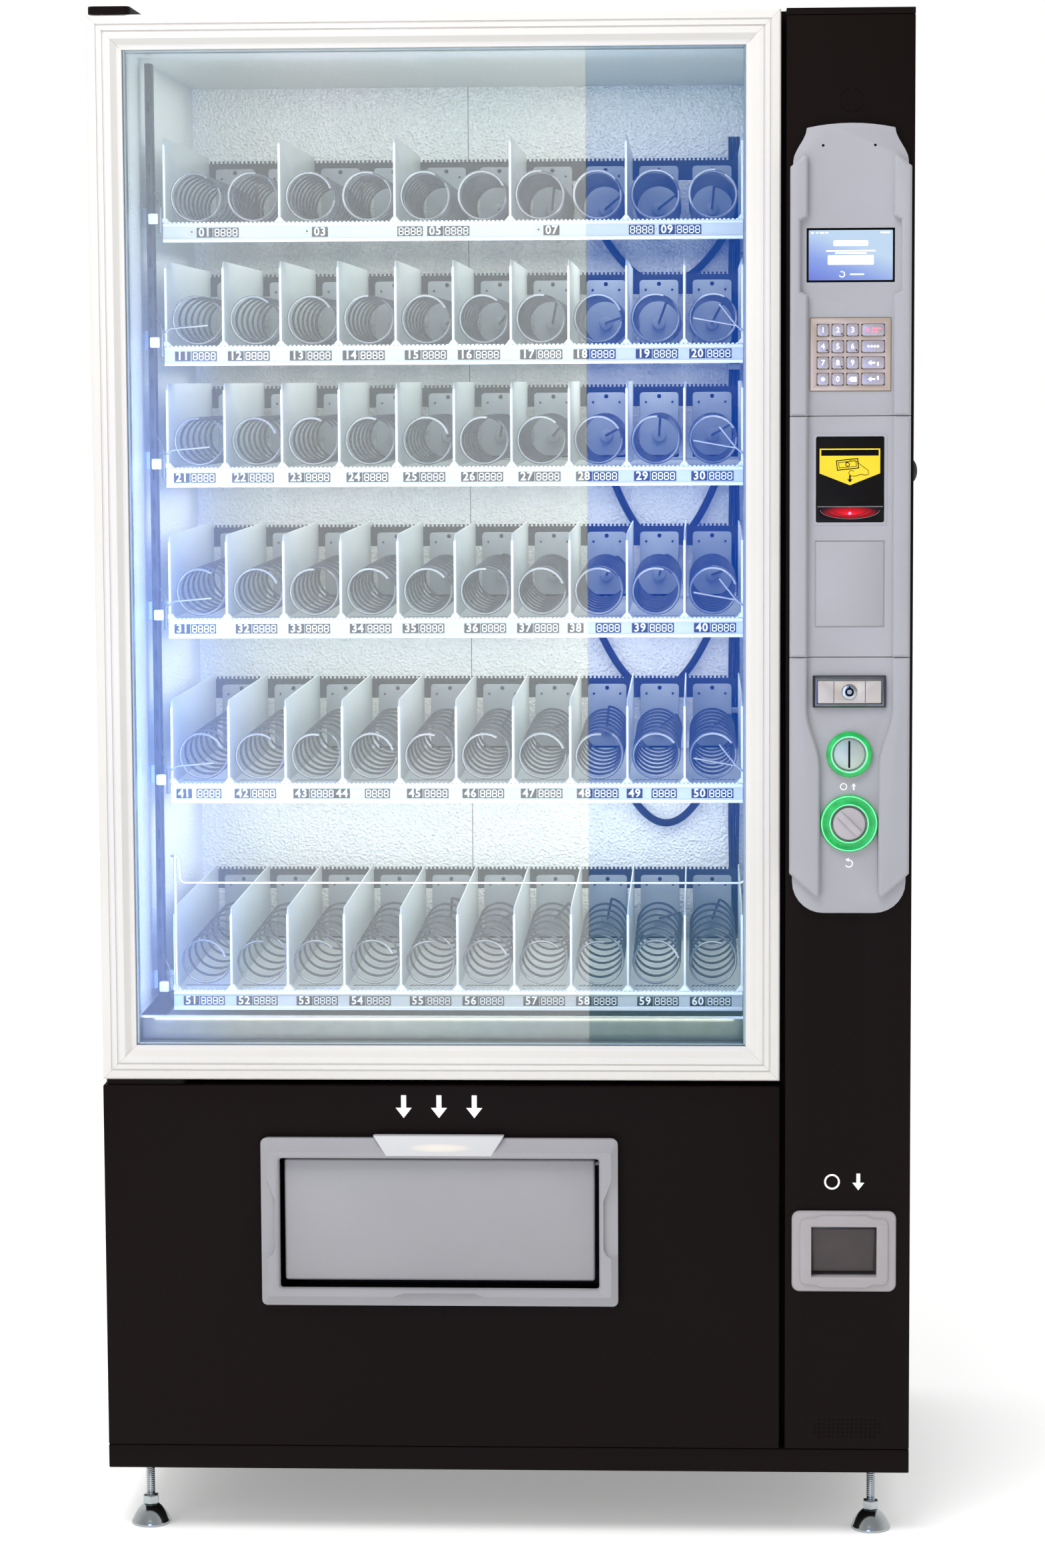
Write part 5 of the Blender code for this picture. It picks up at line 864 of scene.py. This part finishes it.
# painted shade: faces of the surround behind the door face, inside the opening, take the dark finish
surround = softened("pickup_frame", "cabinet", ["flapGrey", "dark"], 1.0)
for face in surround.data.polygons:
    face.material_index = 1 if face.center.y > faceY else 0
softened("pickup_flap", "pickup_flap_body", "flapGrey", 1.2)


def addArrow(bm, center, size, angle, y, depth=0.25):
    turn = Matrix.Rotation(math.radians(angle), 2)
    outline = [(-0.22, -1), (0.22, -1), (0.22, 0.1), (0.7, 0.1), (0, 1), (-0.7, 0.1), (-0.22, 0.1)]
    points = [turn @ Vector(point) for point in outline]
    addPlate(bm, [(center[0] + p.x * size, center[1] + p.y * size) for p in points], (y - depth * mm, y - 0.05 * mm))


# a flat ring sector drawn on the front
def addArc(bm, center, radius, width, angles, y, depth=0.25, steps=24):
    count = max(2, int(steps * abs(angles[1] - angles[0]) / 360))
    swing = [math.radians(angles[0] + (angles[1] - angles[0]) * s / count) for s in range(count + 1)]
    outer = [(center[0] + (radius + width / 2) * math.cos(a), center[1] + (radius + width / 2) * math.sin(a)) for a in swing]
    inner = [(center[0] + (radius - width / 2) * math.cos(a), center[1] + (radius - width / 2) * math.sin(a)) for a in reversed(swing)]
    addPlate(bm, outer + inner, (y - depth * mm, y - 0.05 * mm))


# the moulded front of the surround: an outer slope, a flat band and a rounded lip, with hollows for the fingers
trim = {"behindLens": 2.5, "underLens": 4.2, "hollow": 10, "hollowRise": 0.7, "from": 55.6, "to": 156.3, "notch": (173.6, 291), "notchIn": 5,
        "rings": [((0, 0, 0), 7, -1.5), ((0, 0, 0), 7, 0.3), ((8, 12, 16.4), 3, 6), ((8.8, 12.8, 17.2), 3, 6.6), ((19.5, 19.4, 23), 4, 6.6),
                  ((22.5, 22, 25), 4, 5.2), ((24.3, 23.2, 25.9), 4, 2.4), ((24.3, 23.2, 25.9), 4, -3.5)]}


# the points of one trim ring: how far along its side each hollow starts, deepens, ends
def trimOutline(ring):
    low, high = boxOf("pickup_frame")
    (side, under, over), radius, rise = trim["rings"][ring]
    front, top = low.y + trim["behindLens"] * mm, high.z - trim["underLens"] * mm
    left, right, floor, roof = low.x + side * mm, high.x - side * mm, low.z + under * mm, top - over * mm
    deep = ring in (2, 3)
    level = trim["hollowRise"] if ring == 2 else rise
    sideRun = [(trim["from"], 0), (trim["from"] + 9, 0.35), (trim["from"] + 25, 1), (trim["to"] - 12, 1), (trim["to"] - 4, 0.6), (trim["to"], 0)]
    underRun = [(trim["notch"][0], 0), (trim["notch"][0] + 13, 1), (trim["notch"][1] - 13, 1), (trim["notch"][1], 0)]
    points = []

    def corner(x, z, turn):
        for step in range(5):
            angle = math.radians(turn + 90 * step / 4)
            points.append((x + radius * mm * math.cos(angle), front - rise * mm, z + radius * mm * math.sin(angle)))

    def between(share):
        return front - (rise + (level - rise) * share) * mm

    inset = radius * mm
    corner(left + inset, floor + inset, 180)
    for along, share in underRun:
        points.append((low.x + along * mm, between(share), floor + share * deep * trim["notchIn"] * mm))
    corner(right - inset, floor + inset, 270)
    for drop, share in reversed(sideRun):
        points.append((right - share * deep * trim["hollow"] * mm, between(share), top - drop * mm))
    corner(right - inset, roof - inset, 0)
    corner(left + inset, roof - inset, 90)
    for drop, share in sideRun:
        points.append((left + share * deep * trim["hollow"] * mm, between(share), top - drop * mm))
    return points


def makeTrim():
    bm = bmesh.new()
    addBand(bm, [trimOutline(ring) for ring in range(len(trim["rings"]))])
    addPiece("pickup_trim", bm, "cabinet", "flapGrey", smooth=24)


makeTrim()


def makeLens():
    low, high = boxOf("pickup_frame")
    x, top, y = (low.x + high.x) / 2, high.z + 0.3 * mm, low.y - 4.8 * mm
    bottom = top - (pickup["lensHigh"] + 0.6) * mm
    a, b = (pickup["lensBottom"] / 2 + 0.4) * mm, (pickup["lensTop"] / 2 + 0.4) * mm
    glow = [(0, "#ffe3ab"), (0.6, "#d8b06a"), (0.8, "#6a522c"), (1, "#000000")]
    coats["warmLens"] = (spotLit("warmFrostedLens", "#c3c4c7", glow, 0.22, (x + 2 * mm, y, bottom + 11 * mm), (50 * mm, 1, 7 * mm)), "clear_glass")
    bm = bmesh.new()
    addPlate(bm, [(x - a, bottom), (x + a, bottom), (x + b, top), (x - b, top)], (y, y + pickup["lensDeep"] * mm), 1.4 * mm, 3)
    addPiece("pickup_lens", bm, "cabinet", "warmLens")
    bm = bmesh.new()
    z = high.z + pickup["signOver"] * mm
    for shift in (-46, 0, 46):
        addArrow(bm, (x + shift * mm, z), pickup["sign"] * mm, 180, faceY)
    addPiece("push_sign", bm, "cabinet", "print")


makeLens()
print("pickup done")

# control column
softened("control_door", "control_column", "black", sheetMetal["edge"])
for node in ("bezel_upper", "bezel_middle", "bezel_lower"):
    softened(node, "control_column", "grey", 0.8)
softened("display", "control_column", "blackPlastic", 0.4)
softened("bill_validator", "control_column", "blackPlastic", 0.4)
softened("keypad_plate", "control_column", "keypad", 0.25)
softened("lock_housing", "control_column", "darkChrome", 0.3)
softened("t_handle", "t_handle_body", "nickel", 0.25)
softened("key_cylinder", "key_cylinder_body", "chrome", 0.3)
softened("coin_cup", "control_column", "paleGrey", 0.35)
softened("coin_flap", "coin_flap_body", "smoke", 0.3)
bezelLow, bezelHigh = boxOf("bezel_lower")
columnX, baseY = (bezelLow.x + bezelHigh.x) / 2, bezelLow.y + 10 * mm

screen = {"border": 2.5, "field": (58, 12), "fieldDrop": 6, "title": (44, 7), "titleRise": 15, "line": 1.6, "ring": 3.4}


def makeScreen():
    low, high = boxOf("display")
    x, z, y = (low.x + high.x) / 2, (low.z + high.z) / 2, low.y
    coats["screen"] = (screenPicture(low, high), "display_glass")
    bm = bmesh.new()
    size = (high.x - low.x - 2 * screen["border"] * mm, high.z - low.z - 2 * screen["border"] * mm)
    addPlate(bm, roundedOutline((x, z), size, 1.2 * mm), (y - 0.3 * mm, y - 0.05 * mm), 0.1 * mm, 1)
    addPiece("screen_picture", bm, "control_column", "screen")
    bm = bmesh.new()
    front = y - 0.32 * mm
    addPlate(bm, roundedOutline((x, z - screen["fieldDrop"] * mm), [v * mm for v in screen["field"]], 1.5 * mm), (front - 0.2 * mm, front))
    addPlate(bm, roundedOutline((x, z + screen["titleRise"] * mm), [v * mm for v in screen["title"]], 2 * mm), (front - 0.2 * mm, front))
    for shift, wide in ((5.4, 62), (2.6, 40), (-24, 18)):
        addPlate(bm, roundedOutline((x + (8 * mm if wide == 18 else 0), z + shift * mm), (wide * mm, screen["line"] * mm), 0.7 * mm, 3), (front - 0.2 * mm, front))
    for n, wide in enumerate((3, 2, 5, 4)):
        addPlate(bm, roundedOutline((low.x + (7 + 6 * n) * mm, high.z - 5.6 * mm), (wide * mm, 1.8 * mm), 0.5 * mm, 3), (front - 0.2 * mm, front))
    addPlate(bm, roundedOutline((high.x - 12 * mm, high.z - 5.6 * mm), (12 * mm, 1.8 * mm), 0.5 * mm, 3), (front - 0.2 * mm, front))
    addArc(bm, (x - 11 * mm, z - 24 * mm), screen["ring"] * mm, 1.1 * mm, (200, 480), front, 0.2)
    addPiece("screen_signs", bm, "control_column", "legend")


keySigns = {"legend": 7.0, "triangle": 1.5}


def makeKeys():
    for name in sorted(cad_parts):
        if not name.startswith("key_") or name in ("key_cylinder", "key_pad"):
            continue
        word = name[4:]
        softened(name, f"{name}_body", "keyMetal", 0.3)
        low, high = boxOf(name)
        x, z, y, height = (low.x + high.x) / 2, (low.z + high.z) / 2, low.y, keySigns["legend"] * mm
        bm = bmesh.new()
        if word.isdigit():
            addText(bm, word, (x, y - 0.08 * mm, z), height)
        elif word == "star":
            addText(bm, "*", (x, y - 0.08 * mm, z - 2.4 * mm), 9 * mm)
        elif word == "select":
            addPlate(bm, [(x - 9 * mm, z - 3 * mm), (x - 9 * mm, z + 3 * mm), (x - 4 * mm, z)], (y - 0.2 * mm, y - 0.05 * mm))
            for rise, wide in ((2, 12), (-2, 8)):
                addPlate(bm, roundedOutline((x + (wide / 2 - 2) * mm, z + rise * mm), (wide * mm, 2 * mm), 0.8 * mm, 3), (y - 0.2 * mm, y - 0.05 * mm))
        elif word == "code":
            for dot in (-6, -2, 2, 6):
                addRing(bm, (x + dot * mm, z), 0.8 * mm, 1.5 * mm, y, 0.2)
        elif word == "clear":
            addPlate(bm, [(x - 5 * mm, z), (x - 2 * mm, z + 3 * mm), (x + 5 * mm, z + 3 * mm), (x + 5 * mm, z - 3 * mm), (x - 2 * mm, z - 3 * mm)], (y - 0.15 * mm, y - 0.05 * mm))
        else:
            addArrow(bm, (x - 2 * mm, z), 4.5 * mm, 90, y, 0.2)
            addPlate(bm, roundedOutline((x + 6 * mm, z + (1.5 if word == "enter" else -1.5) * mm), (2 * mm, 5 * mm), 0.5 * mm, 3), (y - 0.2 * mm, y - 0.05 * mm))
        addPiece(f"{name}_sign", bm, f"{name}_body", "redLegend" if word == "select" else "legend")
        if word in ("2", "4", "6", "8"):
            angle = {"2": 0, "4": 90, "6": 270, "8": 180}[word]
            turn = Matrix.Rotation(math.radians(angle), 2)
            corners = [turn @ Vector(corner) * keySigns["triangle"] * mm for corner in ((-1, -0.6), (1, -0.6), (0, 1))]
            bm = bmesh.new()
            addPlate(bm, [(x + 5 * mm + p.x, z - 4.6 * mm + p.y) for p in corners], (y - 0.15 * mm, y - 0.05 * mm))
            addPiece(f"{name}_triangle", bm, f"{name}_body", "dark")


bill = {"brow": 5, "label": (405.4, 1376.9, 482.2, 1423.3), "band": 9, "point": 15, "note": (27, 12), "mouth": (444, 1342.2), "glow": (75, 15)}


def makeReader():
    low, high = boxOf("bill_validator")
    y = low.y + bill["brow"] * mm
    x0, z0, x1, z1 = (value * mm for value in bill["label"])
    middle, side = (x0 + x1) / 2, z0 + bill["point"] * mm
    bm = bmesh.new()
    addPlate(bm, [(x0, z1), (x0, side), (middle, z0), (x1, side), (x1, z1)], (y - 0.35 * mm, y - 0.05 * mm), 0.1 * mm, 1)
    addPiece("reader_label", bm, "control_column", "yellow")
    bm = bmesh.new()
    front = y - 0.36 * mm
    addPlate(bm, [(x0 + 2 * mm, z1 - bill["band"] * mm), (x1 - 2 * mm, z1 - bill["band"] * mm), (x1 - 2 * mm, z1 - 1.6 * mm), (x0 + 2 * mm, z1 - 1.6 * mm)], (front - 0.1 * mm, front))
    note = Matrix.Rotation(math.radians(6), 2)
    wide, tall = bill["note"]
    for size, hole in (((wide, tall), 1.2), ((wide - 5, tall - 5), 0.7)):
        for sx, sz, lx, lz in ((0, 1, 1, 0), (0, -1, 1, 0), (1, 0, 0, 1), (-1, 0, 0, 1)):
            at = Vector((sx * size[0] / 2, sz * size[1] / 2))
            half = Vector((lx * size[0] / 2 + hole / 2, lz * size[1] / 2 + hole / 2)) if lx else Vector((hole / 2, size[1] / 2))
            if lx:
                half.y = hole / 2
            corners = [note @ (at + Vector((half.x * a, half.y * b))) for a, b in ((-1, -1), (1, -1), (1, 1), (-1, 1))]
            addPlate(bm, [(middle - 3 * mm + p.x * mm, z1 - 20 * mm + p.y * mm) for p in corners], (front - 0.1 * mm, front))
    addRing(bm, (middle - 3 * mm, z1 - 20 * mm), 2.4 * mm, 1 * mm, y - 0.34 * mm, 0.12)
    addArrow(bm, (middle, z0 + 8 * mm), 4.6 * mm, 180, front, 0.15)
    hand = ((32.6, 17.9), (39, 15.5), (46.4, 16), (55.6, 23.4), (61.6, 27.5), (62.3, 32.4), (58, 33.8), (52, 32.4), (46.4, 34.8), (39.9, 34.8), (36.7, 30.7), (39, 27.5), (43.5, 28.5))
    addTube(bm, [(x0 + a * mm, front, z1 - b * mm) for a, b in hand], 0.35 * mm, 8)
    addPiece("reader_signs", bm, "control_column", "dark")
    bm = bmesh.new()
    middleOf, size = ((low.x + high.x) / 2, (low.z + high.z) / 2), (high.x - low.x, high.z - low.z)
    outlines = []
    for grow, radius, at in ((3, 4, 0), (3, 4, -0.35), (-0.6, 2.6, -0.35), (-0.6, 2.6, 1.6)):
        outline = roundedOutline(middleOf, [span + 2 * grow * mm for span in size], radius * mm, 5)
        outlines.append([(u, baseY + at * mm, v) for u, v in outline])
    addBand(bm, outlines)
    addPiece("reader_surround", bm, "control_column", "grey")
    x, z = (value * mm for value in bill["mouth"])
    wide, tall = (value * mm / 2 for value in bill["glow"])
    glow = [(0, "#ff4264"), (0.22, "#fb0a1c"), (0.6, "#c0050f"), (1, "#200103")]
    coats["redGlow"] = (spotLit("redMouthGlow", "#14060a", glow, 1.0, (x, y, z - 2 * mm), (38 * mm, 1, 11 * mm)), "display_glass")
    bm = bmesh.new()
    arc = [(x + wide * math.cos(math.pi * n / 16), z + tall / 2 - 1.5 * tall * math.sin(math.pi * n / 16)) for n in range(17)]
    addPlate(bm, [(x - wide, z + tall)] + arc[::-1] + [(x + wide, z + tall)], (y + 3 * mm, y + 6 * mm))
    addPiece("reader_glow", bm, "control_column", "redGlow")
    bm = bmesh.new()
    for share in (0.55, 0.8):
        addTube(bm, [(x + (u - x) * share, y + 2.6 * mm, z + (v - z) * share) for u, v in arc], 0.5 * mm, 8)
    addPiece("reader_rollers", bm, "control_column", "brownPlastic")
    bm = bmesh.new()
    addTurned(bm, "y", (x, y + 3.4 * mm, z - 1 * mm), [(0, 1.8 * mm), (1.2 * mm, 1.5 * mm), (1.9 * mm, 0.8 * mm), (2.1 * mm, 0), (0, 0)], 20)
    addPiece("reader_led", bm, "control_column", "spot")
    bm = bmesh.new()
    addTube(bm, [(u, y - 0.1 * mm, v - 0.5 * mm) for u, v in arc], 0.6 * mm, 8)
    brow = z + tall + 0.4 * mm
    addTube(bm, [(low.x + 2.4 * mm, low.y + 0.3 * mm, brow), (high.x - 2.4 * mm, low.y + 0.3 * mm, brow)], 1.1 * mm, 8)
    addPiece("reader_lip", bm, "control_column", "darkChrome")


lock = {"zone": 20, "line": 0.7, "pin": 2.2, "slot": (3.4, 5.6), "rim": 9}


def makeLock():
    low, high = boxOf("t_handle")
    cylLow, cylHigh = boxOf("key_cylinder")
    x, z, y = (cylLow.x + cylHigh.x) / 2, (cylLow.z + cylHigh.z) / 2, low.y
    bm = bmesh.new()
    for side in (-1, 1):
        at = x + side * lock["zone"] * mm
        addBox(bm, (at - lock["line"] * mm / 2, y - 0.06 * mm, low.z + 1.2 * mm), (at + lock["line"] * mm / 2, y + 0.2 * mm, high.z - 1.2 * mm))
    addPiece("handle_lines", bm, "t_handle_body", "dark")
    front = cylLow.y
    bm = bmesh.new()
    inner, outer = lock["slot"]
    addTurned(bm, "y", (x, front, z), [(outer * mm, 0.05 * mm), (lock["rim"] * mm, 0.05 * mm), (lock["rim"] * mm, 0.9 * mm), (outer * mm + 1 * mm, 1.5 * mm), (outer * mm, 1.5 * mm)], 40, True)
    addTurned(bm, "y", (x, front, z), [(0, 1.3 * mm), (inner * mm - 0.5 * mm, 1.3 * mm), (inner * mm, 0.8 * mm), (inner * mm, 0.05 * mm), (0, 0.05 * mm)], 32)
    addPiece("cylinder_rim", bm, "key_cylinder_body", "chrome")
    # painted shade: a dark ring and keyway mark on the cylinder face stand in for the gap and the key slot
    bm = bmesh.new()
    addTurned(bm, "y", (x, front, z), [(inner * mm + 0.05 * mm, 0.05 * mm), (outer * mm - 0.05 * mm, 0.05 * mm), (outer * mm - 0.05 * mm, 0.3 * mm), (inner * mm + 0.05 * mm, 0.3 * mm)], 32, True)
    addBox(bm, (x - 1.2 * mm, front - 1.62 * mm, z + outer * mm - 0.4 * mm), (x + 1.2 * mm, front - 0.1 * mm, z + outer * mm + 1.6 * mm))
    addPiece("cylinder_slot", bm, "key_cylinder_body", "dark")


rings = {"coinZ": 1033.8, "coin": 29, "plate": 21.3, "coinProud": 7, "knobZ": 945, "knob": 36.7, "knobInner": 23, "knobProud": 6, "slot": (2.6, 35)}


def makeRings():
    coin, plate, proud = rings["coin"], rings["plate"], rings["coinProud"]
    z = rings["coinZ"] * mm
    bm = bmesh.new()
    profile = [(coin + 0.4, 0.1), (coin + 0.4, 0.6 * proud), (coin - 0.8, proud), (coin - 2.4, proud + 0.6), (plate + 2.2, proud + 0.6), (plate + 0.8, proud - 0.4),
               (plate - 0.3, proud - 2), (plate - 0.3, 1.9), (plate + 0.6, 1.0), (coin - 1, 0.1)]
    addTurned(bm, "y", (columnX, baseY, z), [(r * mm, a * mm) for r, a in profile], 64, True)
    knob, inner, proud = rings["knob"], rings["knobInner"], rings["knobProud"]
    profile = [(knob + 0.4, 0.1), (knob + 0.4, 0.6 * proud), (knob - 0.6, proud + 0.6), (knob - 3.2, proud + 1.1), (knob - 5, proud + 0.3), (inner + 4.4, proud + 0.3),
               (inner + 2.6, proud + 1.1), (inner + 0.8, proud + 0.6), (inner - 0.3, proud - 1.2), (inner - 0.3, 1.7), (inner + 1, 0.8), (knob - 1, 0.1)]
    addTurned(bm, "y", (columnX, baseY, rings["knobZ"] * mm), [(r * mm, a * mm) for r, a in profile], 64, True)
    addPiece("lit_rings", bm, "control_column", "greenLens")
    # painted glints: glowing beads along the ring rims
    bm = bmesh.new()
    for center, radius, height in ((z, plate + 1.7, rings["coinProud"] + 0.5), (rings["knobZ"] * mm, inner + 1.5, proud + 0.6), (rings["knobZ"] * mm, knob - 1.8, proud + 0.6)):
        bead = [((radius + 0.75 * math.cos(a)) * mm, (height + 0.75 * math.sin(a)) * mm) for a in (math.pi / 4 * s for s in range(8))]
        addTurned(bm, "y", (columnX, baseY, center), bead, 64, True)
    addPiece("ring_glints", bm, "control_column", "greenEdge")
    bm = bmesh.new()
    addTurned(bm, "y", (columnX, baseY, z), [(0, 3.4 * mm), ((plate - 2.6) * mm, 3.4 * mm), ((plate - 1) * mm, 2.8 * mm), ((plate - 0.6) * mm, 1.9 * mm), (0, 1.9 * mm)], 64)
    addPiece("coin_plate", bm, "control_column", "coinMetal")
    # painted shade: a dark plate stands in for the hollow of the coin slot
    bm = bmesh.new()
    wide, tall = (value * mm for value in rings["slot"])
    addPlate(bm, roundedOutline((columnX, z), (wide, tall), wide / 2.2, 4), (baseY - 3.5 * mm, baseY - 2 * mm))
    addPiece("coin_slot", bm, "control_column", "dark")


knob = {"radius": 20.4, "back": 1.8, "body": 9, "edge": 1.6, "ridge": 9, "tilt": 45, "shaft": 5, "shaftBack": -18}


def makeKnob():
    low, high = boxOf("return_knob")
    center = ((low.x + high.x) / 2, (low.z + high.z) / 2)
    radius, front = knob["radius"], knob["back"] + knob["body"]
    profile = [(0, front), (radius - knob["edge"], front), (radius - 0.4 * knob["edge"], front - 0.35 * knob["edge"]), (radius, front - knob["edge"]),
               (radius, knob["back"]), (knob["shaft"], knob["back"]), (knob["shaft"], knob["shaftBack"]), (0, knob["shaftBack"])]
    bm, ridge = bmesh.new(), bmesh.new()
    addTurned(bm, "y", (center[0], baseY, center[1]), [(r * mm, along * mm) for r, along in profile], 64)
    half = knob["ridge"] * mm / 2
    addBox(ridge, (-0.94 * radius * mm, low.y - baseY, -half), (0.94 * radius * mm, -(front - 1) * mm, half), 1.6 * mm, 3)
    bmesh.ops.transform(ridge, verts=ridge.verts, matrix=Matrix.Translation((center[0], baseY, center[1])) @ Matrix.Rotation(math.radians(knob["tilt"]), 4, "Y"))
    merge(bm, ridge)
    addPiece("knob_turned", bm, "return_knob_body", "mauveGrey", "return_knob")


signs = {"coinZ": 992, "knobZ": 893, "cupZ": 476, "vent": (399.4, 489.6, 135.6, 163.2), "knockout": (444.9, 1860.8, 15), "holes": (408.9, 474.4, 1804)}


def makeColumnSigns():
    printed, dark = bmesh.new(), bmesh.new()
    x = columnX
    z = signs["coinZ"] * mm
    addRing(printed, (x - 7 * mm, z), 4 * mm, 1.2 * mm, baseY)
    addArrow(printed, (x + 6 * mm, z), 4.4 * mm, 0, baseY)
    z = signs["knobZ"] * mm
    addArc(printed, (x, z), 4.6 * mm, 1.4 * mm, (-150, 90), baseY)
    addPlate(printed, [(x, z + 2 * mm), (x, z + 7.4 * mm), (x - 4.6 * mm, z + 4.7 * mm)], (baseY - 0.25 * mm, baseY - 0.05 * mm))
    z = signs["cupZ"] * mm
    addRing(printed, (x - 20 * mm, z), 9 * mm, 2.4 * mm, faceY)
    addArrow(printed, (x + 14 * mm, z), 11 * mm, 180, faceY)
    addPiece("column_signs", printed, "control_column", "print")
    # painted shade: dark marks stand in for the vent holes, the knockout slits and the screw holes
    x0, x1, z0, z1 = (value * mm for value in signs["vent"])
    hole = boxShape((2.9 * mm, 0.3 * mm, 2.9 * mm))
    rows = [(z1 - (z1 - z0) * (row + 0.5) / 5, row) for row in range(5)]
    stamp(dark, hole, [(x0 + (x1 - x0) * (n + 0.5) / 15, faceY, zRow) for zRow, row in rows for n in range(15) if not (row in (0, 4) and n in (0, 14))])
    cx, cz, radius = (value * mm for value in signs["knockout"])
    for start in (12, 102, 192, 282):
        addArc(dark, (cx, cz), radius, 1.6 * mm, (start, start + 66), faceY, 0.2, 60)
    xa, xb, zh = (value * mm for value in signs["holes"])
    for xh in (xa, xb):
        addRod(dark, "y", (xh, zh), 1.7 * mm, (baseY - 0.12 * mm, baseY + 0.3 * mm), 16)
    addPiece("column_holes", dark, "control_column", "dark")


makeScreen()
makeKeys()
makeReader()
makeLock()
makeRings()
makeKnob()
makeColumnSigns()
print("control column done")


def makeLight(name, place, target, size, power, color=(1, 1, 1), glint=False):
    data = bpy.data.lights.new(name, "AREA")
    data.shape, data.size, data.size_y, data.energy, data.color = "RECTANGLE", size[0], size[1], power, color
    lamp = bpy.data.objects.new(name, data)
    bpy.context.scene.collection.objects.link(lamp)
    lamp.location = place
    lamp.rotation_euler = (Vector(target) - Vector(place)).to_track_quat("-Z", "Y").to_euler()
    lamp.visible_camera = lamp.visible_transmission = False
    lamp.visible_glossy = glint


# a card that shows only as a reflection in the glass
def makeCard(name, span, material):
    bm = bmesh.new()
    bm.faces.new([bm.verts.new((x, -4.0, z)) for x, z in ((span[0], 0.01), (span[1], 0.01), (span[1], 2.4), (span[0], 2.4))])
    mesh = bpy.data.meshes.new(name)
    bm.to_mesh(mesh)
    bm.free()
    mesh.materials.append(material)
    card = bpy.data.objects.new(name, mesh)
    bpy.context.scene.collection.objects.link(card)
    card.visible_camera = card.visible_diffuse = card.visible_shadow = False


def makeStudio():
    bm = bmesh.new()
    bmesh.ops.create_grid(bm, x_segments=1, y_segments=1, size=80)
    mesh = bpy.data.meshes.new("floor")
    bm.to_mesh(mesh)
    bm.free()
    floor = bpy.data.objects.new("floor", mesh)
    mesh.materials.append(finish("paleFloor", ("#f8f8f7", "#fcfcfb"), {"Roughness": 0.75, "Emission Color": (1, 1, 1, 1), "Emission Strength": 0.3}, 900, 4, 0.02))
    bpy.context.scene.collection.objects.link(floor)
    world = bpy.data.worlds.new("studio")
    bpy.context.scene.world = world
    world.use_nodes = True
    tree = world.node_tree
    way = tree.nodes.new("ShaderNodeTexCoord")
    parts = tree.nodes.new("ShaderNodeSeparateXYZ")
    level = tree.nodes.new("ShaderNodeMapRange")
    for at, value in ((1, -0.6), (2, 0.35), (3, 0.5), (4, 1.0)):
        level.inputs[at].default_value = value
    tree.links.new(way.outputs["Generated"], parts.inputs[0])
    tree.links.new(parts.outputs["Y"], level.inputs[0])
    tree.nodes["Background"].inputs[0].default_value = (1, 1, 1, 1)
    tree.links.new(level.outputs[0], tree.nodes["Background"].inputs[1])
    makeLight("key_softbox", (-0.9, -2.7, 4.7), (0, -0.3, 1.1), (2.6, 2.0), 150)
    makeLight("fill_softbox", (-3.0, -4.4, 2.2), (0, 0, 1.0), (2.0, 2.6), 40)
    middle = (chamberLeft + chamberRight) / 2
    makeLight("chamber_fill", (middle, doorHigh.y + 3 * mm, 1.3), (middle, 0.3, 1.3), (0.76, 1.24), 5, (1.0, 0.97, 0.95), True)
    for x, aim, power in ((chamberLeft + 8 * mm, 0.05, 3.2), (chamberRight - 8 * mm, -0.3, 0.6)):
        makeLight("chamber_strip", (x, doorHigh.y + 12 * mm, 1.1), (aim, 0.1, 1.1), (0.012, 0.85), power, (0.22, 0.36, 1.0))
    tops = [chamber["top"] * mm] + [boxOf(f"tray_{index}")[0].z for index in range(1, 6)]
    for top in tops:
        power = 1.75 if top == tops[0] else 3.3
        makeLight("tray_light", (middle, 0.05, top - 4 * mm), (middle, 0.06, 0), (0.74, 0.42), power, (1.0, 0.94, 0.86))
        makeLight("side_light", (chamberRight - 0.14, 0.12, top - 4 * mm), (chamberRight - 0.14, 0.14, 0), (0.24, 0.3), power / 7, (1.0, 0.95, 0.88))
    cool = [(0, "#86a6ff"), (0.35, "#98aef6"), (0.7, "#a4aab8"), (1, "#a2a3a6")]
    makeCard("white_reflector", (-1.1, 0.004), spotLit("coolWhiteCard", "#101010", cool, 5.5, (-1.06, -4, 0.8), (0.5, 1, 1.7)))
    deep = [(0, "#1c66f4"), (0.55, "#2069e0"), (0.85, "#557f9a"), (1, "#5d818e")]
    makeCard("blue_reflector", (0.006, 0.45), spotLit("blueCard", "#101010", deep, 3.2, (0.23, -4, 1.25), (1.6, 1, 1.2)))


view = {"yaw": 2.609, "pitch": 5.860, "roll": -0.301, "focalPixels": 5872.5, "framePixels": 2352, "place": (0.2532, -5.394, 1.5093)}


def makeCamera():
    yaw, pitch, roll = (math.radians(view[key]) for key in ("yaw", "pitch", "roll"))
    ahead = Vector((-math.sin(yaw) * math.cos(pitch), math.cos(yaw) * math.cos(pitch), -math.sin(pitch)))
    right = Vector((math.cos(yaw), math.sin(yaw), 0))
    up = right.cross(ahead)
    across = math.cos(roll) * right + math.sin(roll) * up
    upward = -math.sin(roll) * right + math.cos(roll) * up
    data = bpy.data.cameras.new("photo_view")
    data.sensor_fit, data.sensor_width = "AUTO", 36.0
    data.lens = view["focalPixels"] * 36.0 / view["framePixels"]
    camera = bpy.data.objects.new("photo_view", data)
    bpy.context.scene.collection.objects.link(camera)
    camera.matrix_world = Matrix.Translation(view["place"]) @ Matrix((across, upward, -ahead)).transposed().to_4x4()
    bpy.context.scene.camera = camera


makeStudio()
makeCamera()
bpy.context.scene.view_settings.view_transform = "Standard"
